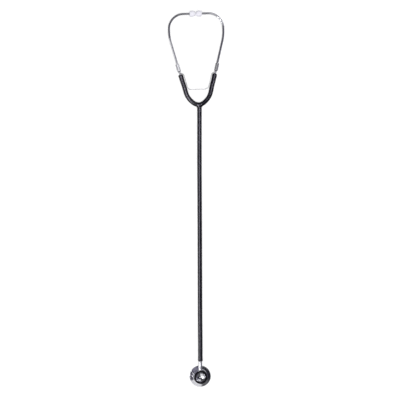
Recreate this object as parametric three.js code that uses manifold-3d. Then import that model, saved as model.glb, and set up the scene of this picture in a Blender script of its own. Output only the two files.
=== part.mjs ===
// Dual-head stethoscope, laid flat on a table with its bell facing up.
// Millimetres. +Z is up. +Y runs from the chestpiece to the ear tips.
// The origin is the centre of the diaphragm's outer face, where the chestpiece rests.

import * as THREE from 'three';
import * as BufferGeometryUtils from 'three/addons/utils/BufferGeometryUtils.js';
import Module from 'manifold-3d';

// Overall size and lie of the headset
const TIP_REACH = 752.4;           // from the head's centre to the ear tips' axis
const HEADSET_LENGTH = 187.3;      // from the tubing's junction to the ear tips' axis
const HEADSET_TURN_DEG = 2.2;      // the headset lies turned this far on the tubing
const HEADSET_SHIFT = -2.7;        // headset's axis at the junction, beside the stem's axis
const TRUNK_DRIFT = -1.4;          // trunk's top beside the stem's axis
const FIT = 0.3;                   // clearance between pieces that touch in use
const OVERRUN = 1;                 // how far a cutter runs past what it cuts

// Chestpiece, diaphragm side
const HEAD_OD = 44;
const DIAPHRAGM_THICKNESS = 0.4;
const DIAPHRAGM_PROUD = 0.4;       // face stands out of the retaining ring
const DIAPHRAGM_FACE_RADIUS = 18.2;
const DIAPHRAGM_SLOPE = 0.7;       // radial run of the step round the face
const RING_WALL = 1.4;
const RING_LIP_THICKNESS = 0.7;
const RING_LIP_WIDTH = 2.8;
const RING_HEIGHT = 4.2;
const RING_CHAMFER = 0.4;
const SEAT_WIDTH = 1.6;            // rim that presses the diaphragm's edge
const CUP_WALL = 2.6;              // from the cup's floor to its back, at the neck
const CUP_EDGE_SHARE = 0.24;       // of the cup's depth, at each of its two edge steps
const CUP_FLAT_RADIUS = 2.6;
const CUP_EDGE_WIDTH = 3;
const FLANGE_HEIGHT = 1.6;         // band above the retaining ring
const FLANGE_CHAMFER = 0.5;
const BACK_GROOVE_WIDTH = 1.2;     // turned line in the cup's back
const BACK_GROOVE_DEPTH = 0.4;
const BACK_GROOVE_INSET = 4.4;     // groove's outer edge from the flange's edge
const BACK_TOP_RADIUS = 9.4;

// Chestpiece, neck and bell
const STEM_AXIS_HEIGHT = 13;
const BACK_CLEARANCE = 1.2;        // from the retaining clip down to the cup's back
const NECK_RADIUS = 6.6;
const NECK_FILLET = 1.8;
const HUB_RADIUS = 5;
const HUB_FRONT = 9;               // front face of the hub from the head's centre
const HUB_BACK = 7.4;
const THROAT_RADIUS = 1.5;
const BELL_RIM_RADIUS = 12.2;
const BELL_FLARE_START = 4.2;      // height above the stem's axis
const BELL_HEIGHT = 12.1;          // bell's rim above the stem's axis
const BELL_BEAD_PROUD = 0.6;
const BELL_BEAD_HEIGHT = 2;
const BELL_FLOOR_HEIGHT = 5.2;
const BELL_RIM_THICKNESS = 1.3;

// Soft ring on the bell's rim
const BELL_RING_OD = 27;
const BELL_RING_ID = 21;
const BELL_RING_TOP = 1.4;
const BELL_RING_CREST_WIDTH = 1.5; // flat crest that meets the skin
const BELL_RING_SKIRT = 4.3;
const BELL_RING_LIP = 0.5;

// Rotary stem
const SPINDLE_RADIUS = 2.5;
const STEM_RADIUS = 3.6;
const STEM_BORE_RADIUS = 1.2;
const STEM_FLANGE_RADIUS = 4.4;
const STEM_FLANGE_THICKNESS = 1;
const STEM_END = 32.2;             // where the tubing begins, from the head's centre
const BARB_LENGTH = 18;
const BARB_RADIUS = 1.9;
const BARB_CREST_RADIUS = 2.05;
const BARB_COUNT = 3;
const SPINDLE_TAIL = 1.4;          // past the retaining clip
const BORE_END = 1.8;              // blind end of the bore past the port
const PORT_RADIUS = 1.1;
const WASHER_THICKNESS = 0.6;
const WASHER_RADIUS = 4.4;
const O_RING_SECTION = 0.76;
const O_RING_RADIUS = 2.2;
const O_RING_PLACE = 5.2;          // along the stem, from the head's centre
const O_RING_SLACK = 0.22;
const CLIP_THICKNESS = 0.5;
const CLIP_GROOVE_RADIUS = 1.9;
const CLIP_RADIUS = 3.8;
const CLIP_MOUTH = 2.8;
const CLIP_RELIEF_RADIUS = 0.5;

// Detent under the spindle
const DETENT_PLACE = 4.6;          // behind the head's centre
const DETENT_BALL_RADIUS = 0.9;
const DETENT_GROOVE_DEPTH = 0.45;
const DETENT_GROOVE_WIDTH = 1.6;
const DETENT_DIMPLE_DEPTH = 0.3;   // pocket below the groove at each working position
const DETENT_SPRING_WIRE = 0.26;
const DETENT_SPRING_RADIUS = 0.62;
const DETENT_SPRING_TURNS = 3;
const DETENT_SCREW_LENGTH = 1.3;
const SCREW_SLOT_WIDTH = 0.35;
const SCREW_SLOT_DEPTH = 0.45;

// One-piece Y tubing
const TUBING_OD = 9.4;
const TUBING_ID = 4.8;
const JUNCTION_SETBACK = 0.6;      // arms' meeting point short of the junction
const SOCKET_DEPTH = 16;           // ear tube pushed this far into its arm

// Headset, in its own frame: x across, y from the junction to the tips
const ARM_END_X = 35.9;
const ARM_END_Y = 62.6;
const EAR_TUBE_LEAN_DEG = 14.7;
const EAR_TUBE_OD = 4.7;
const EAR_TUBE_WALL = 0.7;
const EAR_BOW_RADIUS = 85.5;
const EAR_BEND_SHARE = 0.1618;     // bend's radius, of the headset's length
const EAR_BOW_END_SHARE = 0.8105;  // where the tube runs straight up
const EAR_LEVEL_END = 90;          // past here the tube rises off the table
const EAR_RISE = 9.3;              // tips' axis above the arms' axis

// Ear tips, on the inward ends of the ear tubes
const TIP_GAP = 0.8;               // between the two tips, so that each can swivel past the other
const TIP_LENGTH = 12;
const TIP_OD = 12.6;
const TIP_BACK_OD = 11.2;          // at the skirt's edge
const TIP_HOLE_RADIUS = 1.3;
const TIP_FRONT_WALL = 1.6;
const TIP_DOME_SHARE = 0.55;       // of the tip's length, from its front
const TIP_NOSE_RADIUS = 2.2;
const TIP_SLEEVE_WALL = 0.6;
const TIP_SKIRT_WALL = 0.8;
const TIP_RECESS_DEPTH = 3.2;
const INSERT_WALL = 0.5;
const INSERT_FRONT_WALL = 1;
const INSERT_HOLE_RADIUS = 1;
const FERRULE_HEAD_LENGTH = 6;
const FERRULE_TAIL_LENGTH = 4;
const FERRULE_BORE_RADIUS = 0.8;

// Leaf spring and the clips that hold it to the ear tubes
const SPRING_THICKNESS = 0.6;
const SPRING_WIDTH = 7.5;
const SPRING_BOTTOM = 31;
const SPRING_CORNER_RADIUS = 9;
const SPRING_SIDE_GAP = 2.1;       // between the strip and the rubber arm
const SPRING_TAB_OFFSET = 0.42;    // between the tab and the ear tube
const SPRING_TAB_WIDTH = 4.2;
const SPRING_TAB_END = 21;         // along the ear tube from the arm's end
const SPRING_CROSS_START = -0.5;
const SPRING_CROSS_END = 6;
const SPRING_BEND_RADIUS = 1.6;
const CLIP_SLEEVE_START = 6.9;     // along the ear tube from the arm's end
const CLIP_SLEEVE_LENGTH = 15.5;
const CLIP_SLEEVE_WALL = 0.6;
const CLIP_SLEEVE_DEPTH = 6.2;     // inside, from table side to top side
const CLIP_SLEEVE_CORNER = 1.8;
const CLIP_SLEEVE_PLAY = 0.3;      // beyond the spring's tab

// Counts of facets
const ROUND_SIDES = 40;
const SMALL_SIDES = 20;
const TUBE_SIDES = 12;
const BORE_SIDES = 10;
const ARC_STEPS = 5;

const degrees = THREE.MathUtils.degToRad;
const LEAN = degrees(EAR_TUBE_LEAN_DEG);
const ARM_HEIGHT = TUBING_OD / 2;
const TRUNK_TOP = TIP_REACH - HEADSET_LENGTH;
const QUARTER_TURN = Math.PI / 2;
const EAR_TUBE_RADIUS = EAR_TUBE_OD / 2;
const EAR_BORE_RADIUS = EAR_TUBE_RADIUS - EAR_TUBE_WALL;

const wasm = await Module();
wasm.setup();

// Finishes

const finishes = {
  chrome: { color: 0xd9dbe0, roughness: 0.12, metalness: 1 },
  springSteel: { color: 0xb9bcc2, roughness: 0.28, metalness: 1 },
  blackRubber: { color: 0x17171a, roughness: 0.42, metalness: 0 },
  blackPlastic: { color: 0x0e0e12, roughness: 0.35, metalness: 0 },
  clearSoft: { color: 0xeeebf2, roughness: 0.4, metalness: 0 },
  whiteNylon: { color: 0xe6e4de, roughness: 0.5, metalness: 0 },
  membrane: { color: 0xd8d5c8, roughness: 0.45, metalness: 0 },
};

function piece(name, geometry, finish) {
  const material = new THREE.MeshStandardMaterial(finishes[finish]);
  const mesh = new THREE.Mesh(geometry, material);
  mesh.name = name;
  return mesh;
}

// Solids that can be joined and cut

function solid(geometry) {
  const bare = geometry.clone();
  bare.deleteAttribute('normal');
  bare.deleteAttribute('uv');
  const merged = BufferGeometryUtils.mergeVertices(bare);
  const mesh = new wasm.Mesh({
    numProp: 3,
    vertProperties: new Float32Array(merged.attributes.position.array),
    triVerts: new Uint32Array(merged.index.array),
  });
  return new wasm.Manifold(mesh);
}

function geometryOf(manifold) {
  const mesh = manifold.getMesh();
  const geometry = new THREE.BufferGeometry();
  geometry.setAttribute('position', new THREE.BufferAttribute(mesh.vertProperties, 3));
  geometry.setIndex(new THREE.BufferAttribute(mesh.triVerts, 1));
  geometry.computeVertexNormals();
  return geometry;
}

// Turned shapes: [radius, place along the axis] pairs

function turned(profile, sides) {
  const points = profile.map(([radius, place]) => new THREE.Vector2(radius, place));
  return new THREE.LatheGeometry(points, sides);
}

// A profile that doesn't touch the axis closes on its own first point
function turnedRing(profile, sides) {
  return turned([...profile, profile[0]], sides);
}

function turnedUpright(profile, sides) {
  return turned(profile, sides).rotateX(QUARTER_TURN);
}

function turnedRingUpright(profile, sides) {
  return turnedRing(profile, sides).rotateX(QUARTER_TURN);
}

// A bar along Y from one place to another
function bar(radius, from, to, sides) {
  return new THREE.CylinderGeometry(radius, radius, to - from, sides)
    .translate(0, (from + to) / 2, 0);
}

// A bar along Z from one height to another
function post(radius, from, to, sides) {
  return new THREE.CylinderGeometry(radius, radius, to - from, sides)
    .rotateX(QUARTER_TURN)
    .translate(0, 0, (from + to) / 2);
}

// Tubes along a route of points, with one ring of facets at each point

class Route extends THREE.Curve {
  constructor(points) {
    super();
    this.points = points;
  }

  getPoint(share) {
    const place = THREE.MathUtils.clamp(share, 0, 1) * (this.points.length - 1);
    const before = Math.min(Math.floor(place), this.points.length - 2);
    return this.points[before].clone().lerp(this.points[before + 1], place - before);
  }

  getPointAt(share) {
    return this.getPoint(share);
  }

  getTangentAt(share) {
    return this.getTangent(share);
  }
}

function circleShape(radius, sides) {
  const points = [];
  for (let side = 0; side < sides; side += 1) {
    const angle = (2 * Math.PI * side) / sides;
    points.push(new THREE.Vector2(radius * Math.cos(angle), radius * Math.sin(angle)));
  }
  return new THREE.Shape(points);
}

function tubeAlong(points, radius, boreRadius = 0, sides = TUBE_SIDES) {
  const section = circleShape(radius, sides);
  if (boreRadius > 0) {
    section.holes.push(circleShape(boreRadius, BORE_SIDES));
  }
  return new THREE.ExtrudeGeometry(section, {
    steps: points.length - 1,
    extrudePath: new Route(points),
    bevelEnabled: false,
  });
}

// Points round an arc in the plane, from one heading angle to another
function arcPoints(centre, radius, fromAngle, toAngle, steps) {
  const points = [];
  for (let step = 0; step <= steps; step += 1) {
    const angle = fromAngle + ((toAngle - fromAngle) * step) / steps;
    points.push(new THREE.Vector2(
      centre.x + radius * Math.cos(angle),
      centre.y + radius * Math.sin(angle),
    ));
  }
  return points;
}

// Heights on the chestpiece, from the diaphragm's face

const lipBottom = DIAPHRAGM_PROUD;
const lipTop = lipBottom + RING_LIP_THICKNESS;
const membraneFlangeBottom = lipTop + FIT;
const membraneFlangeTop = membraneFlangeBottom + DIAPHRAGM_THICKNESS;
const seatHeight = membraneFlangeTop + FIT;
const ringTop = lipBottom + RING_HEIGHT;
const shoulderHeight = ringTop + FIT;
const flangeTop = shoulderHeight + FLANGE_HEIGHT;
const backTop = STEM_AXIS_HEIGHT - CLIP_RADIUS - BACK_CLEARANCE;
const cupFloor = backTop - CUP_WALL;
const cupEdgeRise = (cupFloor - seatHeight) * CUP_EDGE_SHARE;
const headRadius = HEAD_OD / 2;
const spigotRadius = headRadius - RING_WALL - FIT;
const bellRimHeight = STEM_AXIS_HEIGHT + BELL_HEIGHT;
const bellFloorHeight = STEM_AXIS_HEIGHT + BELL_FLOOR_HEIGHT;
const bellRingHeight = bellRimHeight + FIT + BELL_RING_TOP;

// Diaphragm: a stepped disc whose edge is held under the retaining ring

function makeDiaphragm() {
  const stepOut = DIAPHRAGM_FACE_RADIUS + DIAPHRAGM_SLOPE;
  const slopeInset = DIAPHRAGM_THICKNESS * (DIAPHRAGM_SLOPE / membraneFlangeBottom);
  const profile = [
    [0, 0],
    [DIAPHRAGM_FACE_RADIUS, 0],
    [stepOut, membraneFlangeBottom],
    [spigotRadius, membraneFlangeBottom],
    [spigotRadius, membraneFlangeTop],
    [stepOut - slopeInset, membraneFlangeTop],
    [DIAPHRAGM_FACE_RADIUS - slopeInset, DIAPHRAGM_THICKNESS],
    [0, DIAPHRAGM_THICKNESS],
  ];
  return piece('diaphragm', turnedUpright(profile, ROUND_SIDES), 'membrane');
}

// Retaining ring: screws over the spigot and traps the diaphragm's edge

function makeRetainingRing() {
  const bore = spigotRadius + FIT;
  const lipBore = headRadius - RING_LIP_WIDTH;
  const profile = [
    [lipBore, lipBottom],
    [headRadius - RING_CHAMFER, lipBottom],
    [headRadius, lipBottom + RING_CHAMFER],
    [headRadius, ringTop - RING_CHAMFER],
    [headRadius - RING_CHAMFER, ringTop],
    [bore, ringTop],
    [bore, lipTop],
    [lipBore, lipTop],
  ];
  return piece('diaphragm_retaining_ring', turnedRingUpright(profile, ROUND_SIDES), 'chrome');
}

// Chestpiece body: shallow cup, neck with the rotary hub, and the bell

function cupProfile() {
  const seatInner = spigotRadius - SEAT_WIDTH;
  const cupEdge = seatInner - CUP_EDGE_WIDTH;
  return [
    [0, cupFloor],
    [CUP_FLAT_RADIUS, cupFloor],
    [cupEdge, seatHeight + 2 * cupEdgeRise],
    [seatInner - FIT, seatHeight + cupEdgeRise],
    [seatInner, seatHeight],
    [spigotRadius, seatHeight],
    [spigotRadius, shoulderHeight],
  ];
}

function backProfile() {
  const grooveOuter = headRadius - BACK_GROOVE_INSET;
  const grooveInner = grooveOuter - BACK_GROOVE_WIDTH;
  const edge = headRadius - FLANGE_CHAMFER;
  const slope = (backTop - flangeTop) / (edge - BACK_TOP_RADIUS);
  const backAt = (radius) => flangeTop + (edge - radius) * slope;
  return [
    [headRadius - FLANGE_CHAMFER, shoulderHeight],
    [headRadius, shoulderHeight + FLANGE_CHAMFER],
    [headRadius, flangeTop - FLANGE_CHAMFER],
    [edge, flangeTop],
    [grooveOuter, backAt(grooveOuter)],
    [grooveOuter, backAt(grooveOuter) - BACK_GROOVE_DEPTH],
    [grooveInner, backAt(grooveInner) - BACK_GROOVE_DEPTH],
    [grooveInner, backAt(grooveInner)],
    [BACK_TOP_RADIUS, backTop],
    [NECK_RADIUS + NECK_FILLET / 3, backTop + NECK_FILLET / 3],
    [NECK_RADIUS, backTop + NECK_FILLET],
  ];
}

// The bell flares on a quarter ellipse outside, and is a deeper bowl inside
function bellProfile() {
  const flareStart = STEM_AXIS_HEIGHT + BELL_FLARE_START;
  const beadTop = bellRimHeight - BELL_RING_LIP;
  const beadBottom = beadTop - BELL_BEAD_HEIGHT;
  const rimInner = BELL_RIM_RADIUS - BELL_RIM_THICKNESS;
  const outside = [];
  const inside = [];
  for (let step = 0; step <= ARC_STEPS; step += 1) {
    const angle = QUARTER_TURN * (step / ARC_STEPS);
    outside.push([
      NECK_RADIUS + (BELL_RIM_RADIUS - NECK_RADIUS) * Math.sin(angle),
      beadBottom - (beadBottom - flareStart) * Math.cos(angle),
    ]);
    inside.push([
      rimInner * Math.cos(angle),
      bellRimHeight - (bellRimHeight - bellFloorHeight) * Math.sin(angle),
    ]);
  }
  return [
    ...outside,
    [BELL_RIM_RADIUS + BELL_BEAD_PROUD, beadBottom + BELL_BEAD_PROUD],
    [BELL_RIM_RADIUS + BELL_BEAD_PROUD, beadTop],
    [BELL_RIM_RADIUS, bellRimHeight],
    ...inside,
  ];
}

function makeChestpieceBody() {
  const detent = detentHeights();
  const profile = [...cupProfile(), ...backProfile(), ...bellProfile()];
  profile[profile.length - 1][0] = 0;
  const hub = bar(HUB_RADIUS, -HUB_BACK, HUB_FRONT, SMALL_SIDES)
    .translate(0, 0, STEM_AXIS_HEIGHT);
  const bore = bar(SPINDLE_RADIUS + FIT, -HUB_BACK - OVERRUN, HUB_FRONT + OVERRUN, SMALL_SIDES)
    .translate(0, 0, STEM_AXIS_HEIGHT);
  const throat = post(THROAT_RADIUS, cupFloor - OVERRUN, bellFloorHeight + OVERRUN, TUBE_SIDES);
  const pocket = post(
    DETENT_BALL_RADIUS + FIT,
    detent.screwBottom - OVERRUN,
    STEM_AXIS_HEIGHT,
    TUBE_SIDES,
  ).translate(0, -DETENT_PLACE, 0);
  const body = solid(turnedUpright(profile, ROUND_SIDES))
    .add(solid(hub))
    .subtract(solid(bore))
    .subtract(solid(throat))
    .subtract(solid(pocket));
  return piece('chestpiece_body', geometryOf(body), 'chrome');
}

// Soft ring that snaps over the bell's beaded rim

function makeBellRing() {
  const outer = BELL_RING_OD / 2;
  const inner = BELL_RING_ID / 2;
  const round = (outer - inner - BELL_RING_CREST_WIDTH) / 2;
  const beadTop = bellRimHeight - BELL_RING_LIP;
  const lipTopHeight = beadTop - BELL_BEAD_HEIGHT - FIT;
  const skirtBottom = bellRingHeight - BELL_RING_SKIRT;
  const beadBore = BELL_RIM_RADIUS + BELL_BEAD_PROUD + FIT;
  const neckBore = BELL_RIM_RADIUS + FIT;
  const profile = [
    [neckBore, skirtBottom],
    [outer - round / 2, skirtBottom],
    [outer, skirtBottom + round],
    [outer, bellRingHeight - round],
    [outer - round / 3, bellRingHeight - round / 3],
    [outer - round, bellRingHeight],
    [inner + round, bellRingHeight],
    [inner + round / 3, bellRingHeight - round / 3],
    [inner, bellRingHeight - round],
    [inner, bellRimHeight + FIT],
    [neckBore, bellRimHeight + FIT],
    [beadBore, beadTop + FIT],
    [beadBore, lipTopHeight + BELL_BEAD_PROUD],
    [neckBore, lipTopHeight],
  ];
  return piece('bell_ring', turnedRingUpright(profile, ROUND_SIDES), 'blackPlastic');
}

// Hollow stem: barbed end, shaft, flange, and the spindle that is the valve

const flangeStart = HUB_FRONT + FIT + WASHER_THICKNESS + FIT;
const clipStart = -HUB_BACK - FIT;
const clipEnd = clipStart - CLIP_THICKNESS;

function spindleProfile() {
  const oGroove = O_RING_SECTION / 2 + O_RING_SLACK;
  const oRoot = O_RING_RADIUS - oGroove;
  const detentHalf = DETENT_GROOVE_WIDTH / 2;
  const detentRoot = SPINDLE_RADIUS - DETENT_GROOVE_DEPTH;
  return [
    [0, clipEnd - FIT - SPINDLE_TAIL],
    [SPINDLE_RADIUS - FIT, clipEnd - FIT - SPINDLE_TAIL],
    [SPINDLE_RADIUS, clipEnd - SPINDLE_TAIL],
    [SPINDLE_RADIUS, clipEnd - FIT],
    [CLIP_GROOVE_RADIUS, clipEnd - FIT],
    [CLIP_GROOVE_RADIUS, clipStart + FIT],
    [SPINDLE_RADIUS, clipStart + FIT],
    [SPINDLE_RADIUS, -DETENT_PLACE - detentHalf],
    [detentRoot, -DETENT_PLACE - detentHalf / 2],
    [detentRoot, -DETENT_PLACE + detentHalf / 2],
    [SPINDLE_RADIUS, -DETENT_PLACE + detentHalf],
    [SPINDLE_RADIUS, O_RING_PLACE - oGroove],
    [oRoot, O_RING_PLACE - oGroove],
    [oRoot, O_RING_PLACE + oGroove],
    [SPINDLE_RADIUS, O_RING_PLACE + oGroove],
    [SPINDLE_RADIUS, flangeStart],
  ];
}

function barbProfile() {
  const first = STEM_END + FIT;
  const pitch = (BARB_LENGTH - FIT) / BARB_COUNT;
  const profile = [];
  for (let barb = 0; barb < BARB_COUNT; barb += 1) {
    const start = first + barb * pitch;
    profile.push([BARB_RADIUS, start]);
    profile.push([BARB_RADIUS, start + pitch / 2]);
    profile.push([BARB_CREST_RADIUS, start + pitch / 2]);
  }
  profile.push([STEM_BORE_RADIUS + FIT, STEM_END + BARB_LENGTH]);
  return profile;
}

function makeStem() {
  const profile = [
    ...spindleProfile(),
    [STEM_FLANGE_RADIUS, flangeStart],
    [STEM_FLANGE_RADIUS, flangeStart + STEM_FLANGE_THICKNESS],
    [STEM_RADIUS, flangeStart + STEM_FLANGE_THICKNESS],
    [STEM_RADIUS, STEM_END - FIT],
    [BARB_RADIUS, STEM_END - FIT],
    ...barbProfile(),
    [STEM_BORE_RADIUS, STEM_END + BARB_LENGTH],
    [STEM_BORE_RADIUS, -BORE_END],
    [0, -BORE_END],
  ];
  const port = post(PORT_RADIUS, 0, SPINDLE_RADIUS + OVERRUN, TUBE_SIDES);
  const dimpleDepth = SPINDLE_RADIUS - DETENT_GROOVE_DEPTH - DETENT_DIMPLE_DEPTH;
  let stem = solid(turned(profile, SMALL_SIDES)).subtract(solid(port));
  for (const side of [-1, 1]) {
    const dimple = new THREE.SphereGeometry(DETENT_BALL_RADIUS, TUBE_SIDES, TUBE_SIDES / 2)
      .translate(0, -DETENT_PLACE, side * (dimpleDepth + DETENT_BALL_RADIUS));
    stem = stem.subtract(solid(dimple));
  }
  const geometry = geometryOf(stem).translate(0, 0, STEM_AXIS_HEIGHT);
  return piece('chestpiece_stem', geometry, 'chrome');
}

function makeORing() {
  const geometry = new THREE.TorusGeometry(
    O_RING_RADIUS,
    O_RING_SECTION / 2,
    TUBE_SIDES / 2 + 2,
    SMALL_SIDES,
  ).rotateX(QUARTER_TURN).translate(0, O_RING_PLACE, STEM_AXIS_HEIGHT);
  return piece('stem_o_ring', geometry, 'blackRubber');
}

function makeThrustWasher() {
  const start = HUB_FRONT + FIT;
  const bore = SPINDLE_RADIUS + FIT;
  const profile = [
    [bore, start],
    [WASHER_RADIUS, start],
    [WASHER_RADIUS, start + WASHER_THICKNESS],
    [bore, start + WASHER_THICKNESS],
  ];
  const geometry = turnedRing(profile, SMALL_SIDES).translate(0, 0, STEM_AXIS_HEIGHT);
  return piece('stem_thrust_washer', geometry, 'whiteNylon');
}

// Open retaining clip that snaps into the groove behind the hub

function makeRetainingClip() {
  const inner = CLIP_GROOVE_RADIUS + FIT;
  const halfMouth = CLIP_MOUTH / 2;
  const mouthAngle = (radius) => Math.asin(halfMouth / radius);
  const centre = new THREE.Vector2(0, 0);
  const outerStart = mouthAngle(CLIP_RADIUS);
  const innerStart = mouthAngle(inner);
  const outside = arcPoints(centre, CLIP_RADIUS, outerStart, 2 * Math.PI - outerStart, SMALL_SIDES);
  const inside = arcPoints(centre, inner, 2 * Math.PI - innerStart, innerStart, SMALL_SIDES);
  const shape = new THREE.Shape([...outside, ...inside]);
  const reliefPlace = (inner + CLIP_RADIUS) / 2;
  for (const side of [-1, 1]) {
    const relief = new THREE.Path();
    relief.absarc(0, side * reliefPlace, CLIP_RELIEF_RADIUS, 0, 2 * Math.PI, true);
    shape.holes.push(relief);
  }
  const geometry = new THREE.ExtrudeGeometry(shape, {
    depth: CLIP_THICKNESS,
    bevelEnabled: false,
    curveSegments: ARC_STEPS,
  }).rotateX(QUARTER_TURN).translate(0, clipStart, STEM_AXIS_HEIGHT);
  return piece('stem_retaining_clip', geometry, 'springSteel');
}

// Detent: a sprung ball that clicks into the spindle at each working position

function detentHeights() {
  const grooveBottom = STEM_AXIS_HEIGHT - (SPINDLE_RADIUS - DETENT_GROOVE_DEPTH);
  const ballCentre = grooveBottom - FIT - DETENT_BALL_RADIUS;
  const springTop = ballCentre - DETENT_BALL_RADIUS - FIT / 2;
  const cupDrop = (DETENT_PLACE - CUP_FLAT_RADIUS) * cupSlope();
  const screwBottom = cupFloor - cupDrop;
  const screwTop = screwBottom + DETENT_SCREW_LENGTH;
  return { ballCentre, springTop, screwBottom, screwTop };
}

function cupSlope() {
  const cupEdge = spigotRadius - SEAT_WIDTH - CUP_EDGE_WIDTH;
  return (cupFloor - seatHeight - 2 * cupEdgeRise) / (cupEdge - CUP_FLAT_RADIUS);
}

function makeDetentBall() {
  const geometry = new THREE.SphereGeometry(DETENT_BALL_RADIUS, TUBE_SIDES, TUBE_SIDES / 2 + 2)
    .translate(0, -DETENT_PLACE, detentHeights().ballCentre);
  return piece('detent_ball', geometry, 'springSteel');
}

function makeDetentSpring() {
  const heights = detentHeights();
  const bottom = heights.screwTop + FIT + DETENT_SPRING_WIRE / 2;
  const top = heights.springTop - DETENT_SPRING_WIRE / 2;
  const stepsPerTurn = 8;
  const steps = DETENT_SPRING_TURNS * stepsPerTurn;
  const points = [];
  for (let step = 0; step <= steps; step += 1) {
    const angle = (2 * Math.PI * step) / stepsPerTurn;
    points.push(new THREE.Vector3(
      DETENT_SPRING_RADIUS * Math.cos(angle),
      DETENT_SPRING_RADIUS * Math.sin(angle) - DETENT_PLACE,
      THREE.MathUtils.lerp(bottom, top, step / steps),
    ));
  }
  const wire = new THREE.ExtrudeGeometry(circleShape(DETENT_SPRING_WIRE / 2, 5), {
    steps,
    extrudePath: new Route(points),
    bevelEnabled: false,
  });
  return piece('detent_spring', wire, 'springSteel');
}

function makeDetentScrew() {
  const heights = detentHeights();
  const screw = post(DETENT_BALL_RADIUS, heights.screwBottom, heights.screwTop, SMALL_SIDES / 2);
  const slot = new THREE.BoxGeometry(
    2 * (DETENT_BALL_RADIUS + OVERRUN),
    SCREW_SLOT_WIDTH,
    2 * SCREW_SLOT_DEPTH,
  ).translate(0, 0, heights.screwBottom);
  const geometry = geometryOf(solid(screw).subtract(solid(slot)))
    .translate(0, -DETENT_PLACE, 0);
  return piece('detent_screw', geometry, 'springSteel');
}

// The headset's place on the table

const headsetTurn = degrees(HEADSET_TURN_DEG);
const headsetPlace = new THREE.Matrix4()
  .makeRotationZ(headsetTurn)
  .setPosition(HEADSET_SHIFT, TRUNK_TOP, 0);

// One-piece Y tubing. The routes are the tubing's own lie, point by point.

// The trunk leaves the stem level, comes down to the table and lies on it.
// Each row is a share of the trunk's length, of the stem's height over the arms, and of its drift.
const TRUNK_SHARES = [
  [0, 1, 0], [0.017, 1, 0], [0.036, 1, 0], [0.058, 0.952, 0.01], [0.084, 0.807, 0.03],
  [0.114, 0.59, 0.05], [0.148, 0.349, 0.08], [0.182, 0.157, 0.11], [0.216, 0.036, 0.14],
  [0.253, 0, 0.17], [0.31, 0, 0.24], [0.384, 0, 0.34], [0.474, 0, 0.47], [0.564, 0, 0.62],
  [0.655, 0, 0.78], [0.745, 0, 0.93], [0.835, 0, 1], [0.917, 0, 1], [1, 0, 1],
];

const ARM_ROUTE = [
  [0, -JUNCTION_SETBACK], [4.4, 0], [8.6, 1.8], [12.5, 4.6], [16.2, 8.1], [19.5, 11.9], [22.2, 16],
  [24.3, 20.5], [25.9, 25.5], [27.3, 31], [28.8, 37], [30.3, 42.4], [31.8, 47.1],
];

function trunkPoints() {
  return TRUNK_SHARES.map(([along, height, drift]) => new THREE.Vector3(
    TRUNK_DRIFT * drift,
    THREE.MathUtils.lerp(STEM_END, TRUNK_TOP, along),
    THREE.MathUtils.lerp(ARM_HEIGHT, STEM_AXIS_HEIGHT, height),
  ));
}

// Point on the ear tube's straight lower part: along it, and outward from its axis
function besideEarTube(along, outward) {
  return new THREE.Vector2(
    ARM_END_X + along * Math.sin(LEAN) + outward * Math.cos(LEAN),
    ARM_END_Y + along * Math.cos(LEAN) - outward * Math.sin(LEAN),
  );
}

function armPoints(side) {
  const end = besideEarTube(0, 0);
  const plan = [...ARM_ROUTE.map(([x, y]) => new THREE.Vector2(x, y)), end];
  return plan.map(({ x, y }) => new THREE.Vector3(side * x, y, ARM_HEIGHT));
}

function bothArms(extra) {
  const right = armPoints(1);
  const left = armPoints(-1).reverse();
  const points = [...left, ...right.slice(1)];
  if (extra > 0) {
    const past = besideEarTube(extra, 0);
    points[0].set(-past.x, past.y, ARM_HEIGHT);
    points[points.length - 1].set(past.x, past.y, ARM_HEIGHT);
  }
  return points.map((point) => point.applyMatrix4(headsetPlace));
}

function socketPoints(side) {
  return [-SOCKET_DEPTH - FIT, OVERRUN].map((along) => {
    const { x, y } = besideEarTube(along, 0);
    return new THREE.Vector3(side * x, y, ARM_HEIGHT).applyMatrix4(headsetPlace);
  });
}

function makeTubing() {
  const trunkBore = trunkPoints();
  trunkBore[0].y -= OVERRUN;
  const socketRadius = (EAR_TUBE_RADIUS + FIT) / Math.cos(Math.PI / TUBE_SIDES);
  let tubing = solid(tubeAlong(trunkPoints(), TUBING_OD / 2))
    .add(solid(tubeAlong(bothArms(0), TUBING_OD / 2)))
    .subtract(solid(tubeAlong(trunkBore, TUBING_ID / 2, 0, BORE_SIDES)))
    .subtract(solid(tubeAlong(bothArms(OVERRUN), TUBING_ID / 2, 0, BORE_SIDES)));
  for (const side of [-1, 1]) {
    tubing = tubing.subtract(solid(tubeAlong(socketPoints(side), socketRadius)));
  }
  return piece('y_tubing', geometryOf(tubing), 'blackRubber');
}

// Ear tube: straight out of the arm, a long bow, then a bend in towards the ear

function earTubePlan() {
  const bowCentre = new THREE.Vector2(0, HEADSET_LENGTH * EAR_BOW_END_SHARE);
  const bendRadius = HEADSET_LENGTH * EAR_BEND_SHARE;
  const start = besideEarTube(-SOCKET_DEPTH, 0);
  const bow = arcPoints(bowCentre, EAR_BOW_RADIUS, -LEAN, 0, ARC_STEPS);
  const lineX = ARM_END_X + (bow[0].y - ARM_END_Y) * Math.tan(LEAN);
  const shift = lineX - bow[0].x;
  bow.forEach((point) => {
    point.x += shift;
  });
  const topX = bow[bow.length - 1].x;
  const bendCentre = new THREE.Vector2(topX - bendRadius, HEADSET_LENGTH - bendRadius);
  const bend = arcPoints(bendCentre, bendRadius, 0, QUARTER_TURN, 2 * ARC_STEPS);
  const end = new THREE.Vector2(earTubeEnd(), HEADSET_LENGTH);
  const level = besideEarTube((EAR_LEVEL_END - ARM_END_Y) / Math.cos(LEAN), 0);
  return [start, besideEarTube(SPRING_TAB_END, 0), level, ...bow, ...bend, end];
}

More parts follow.
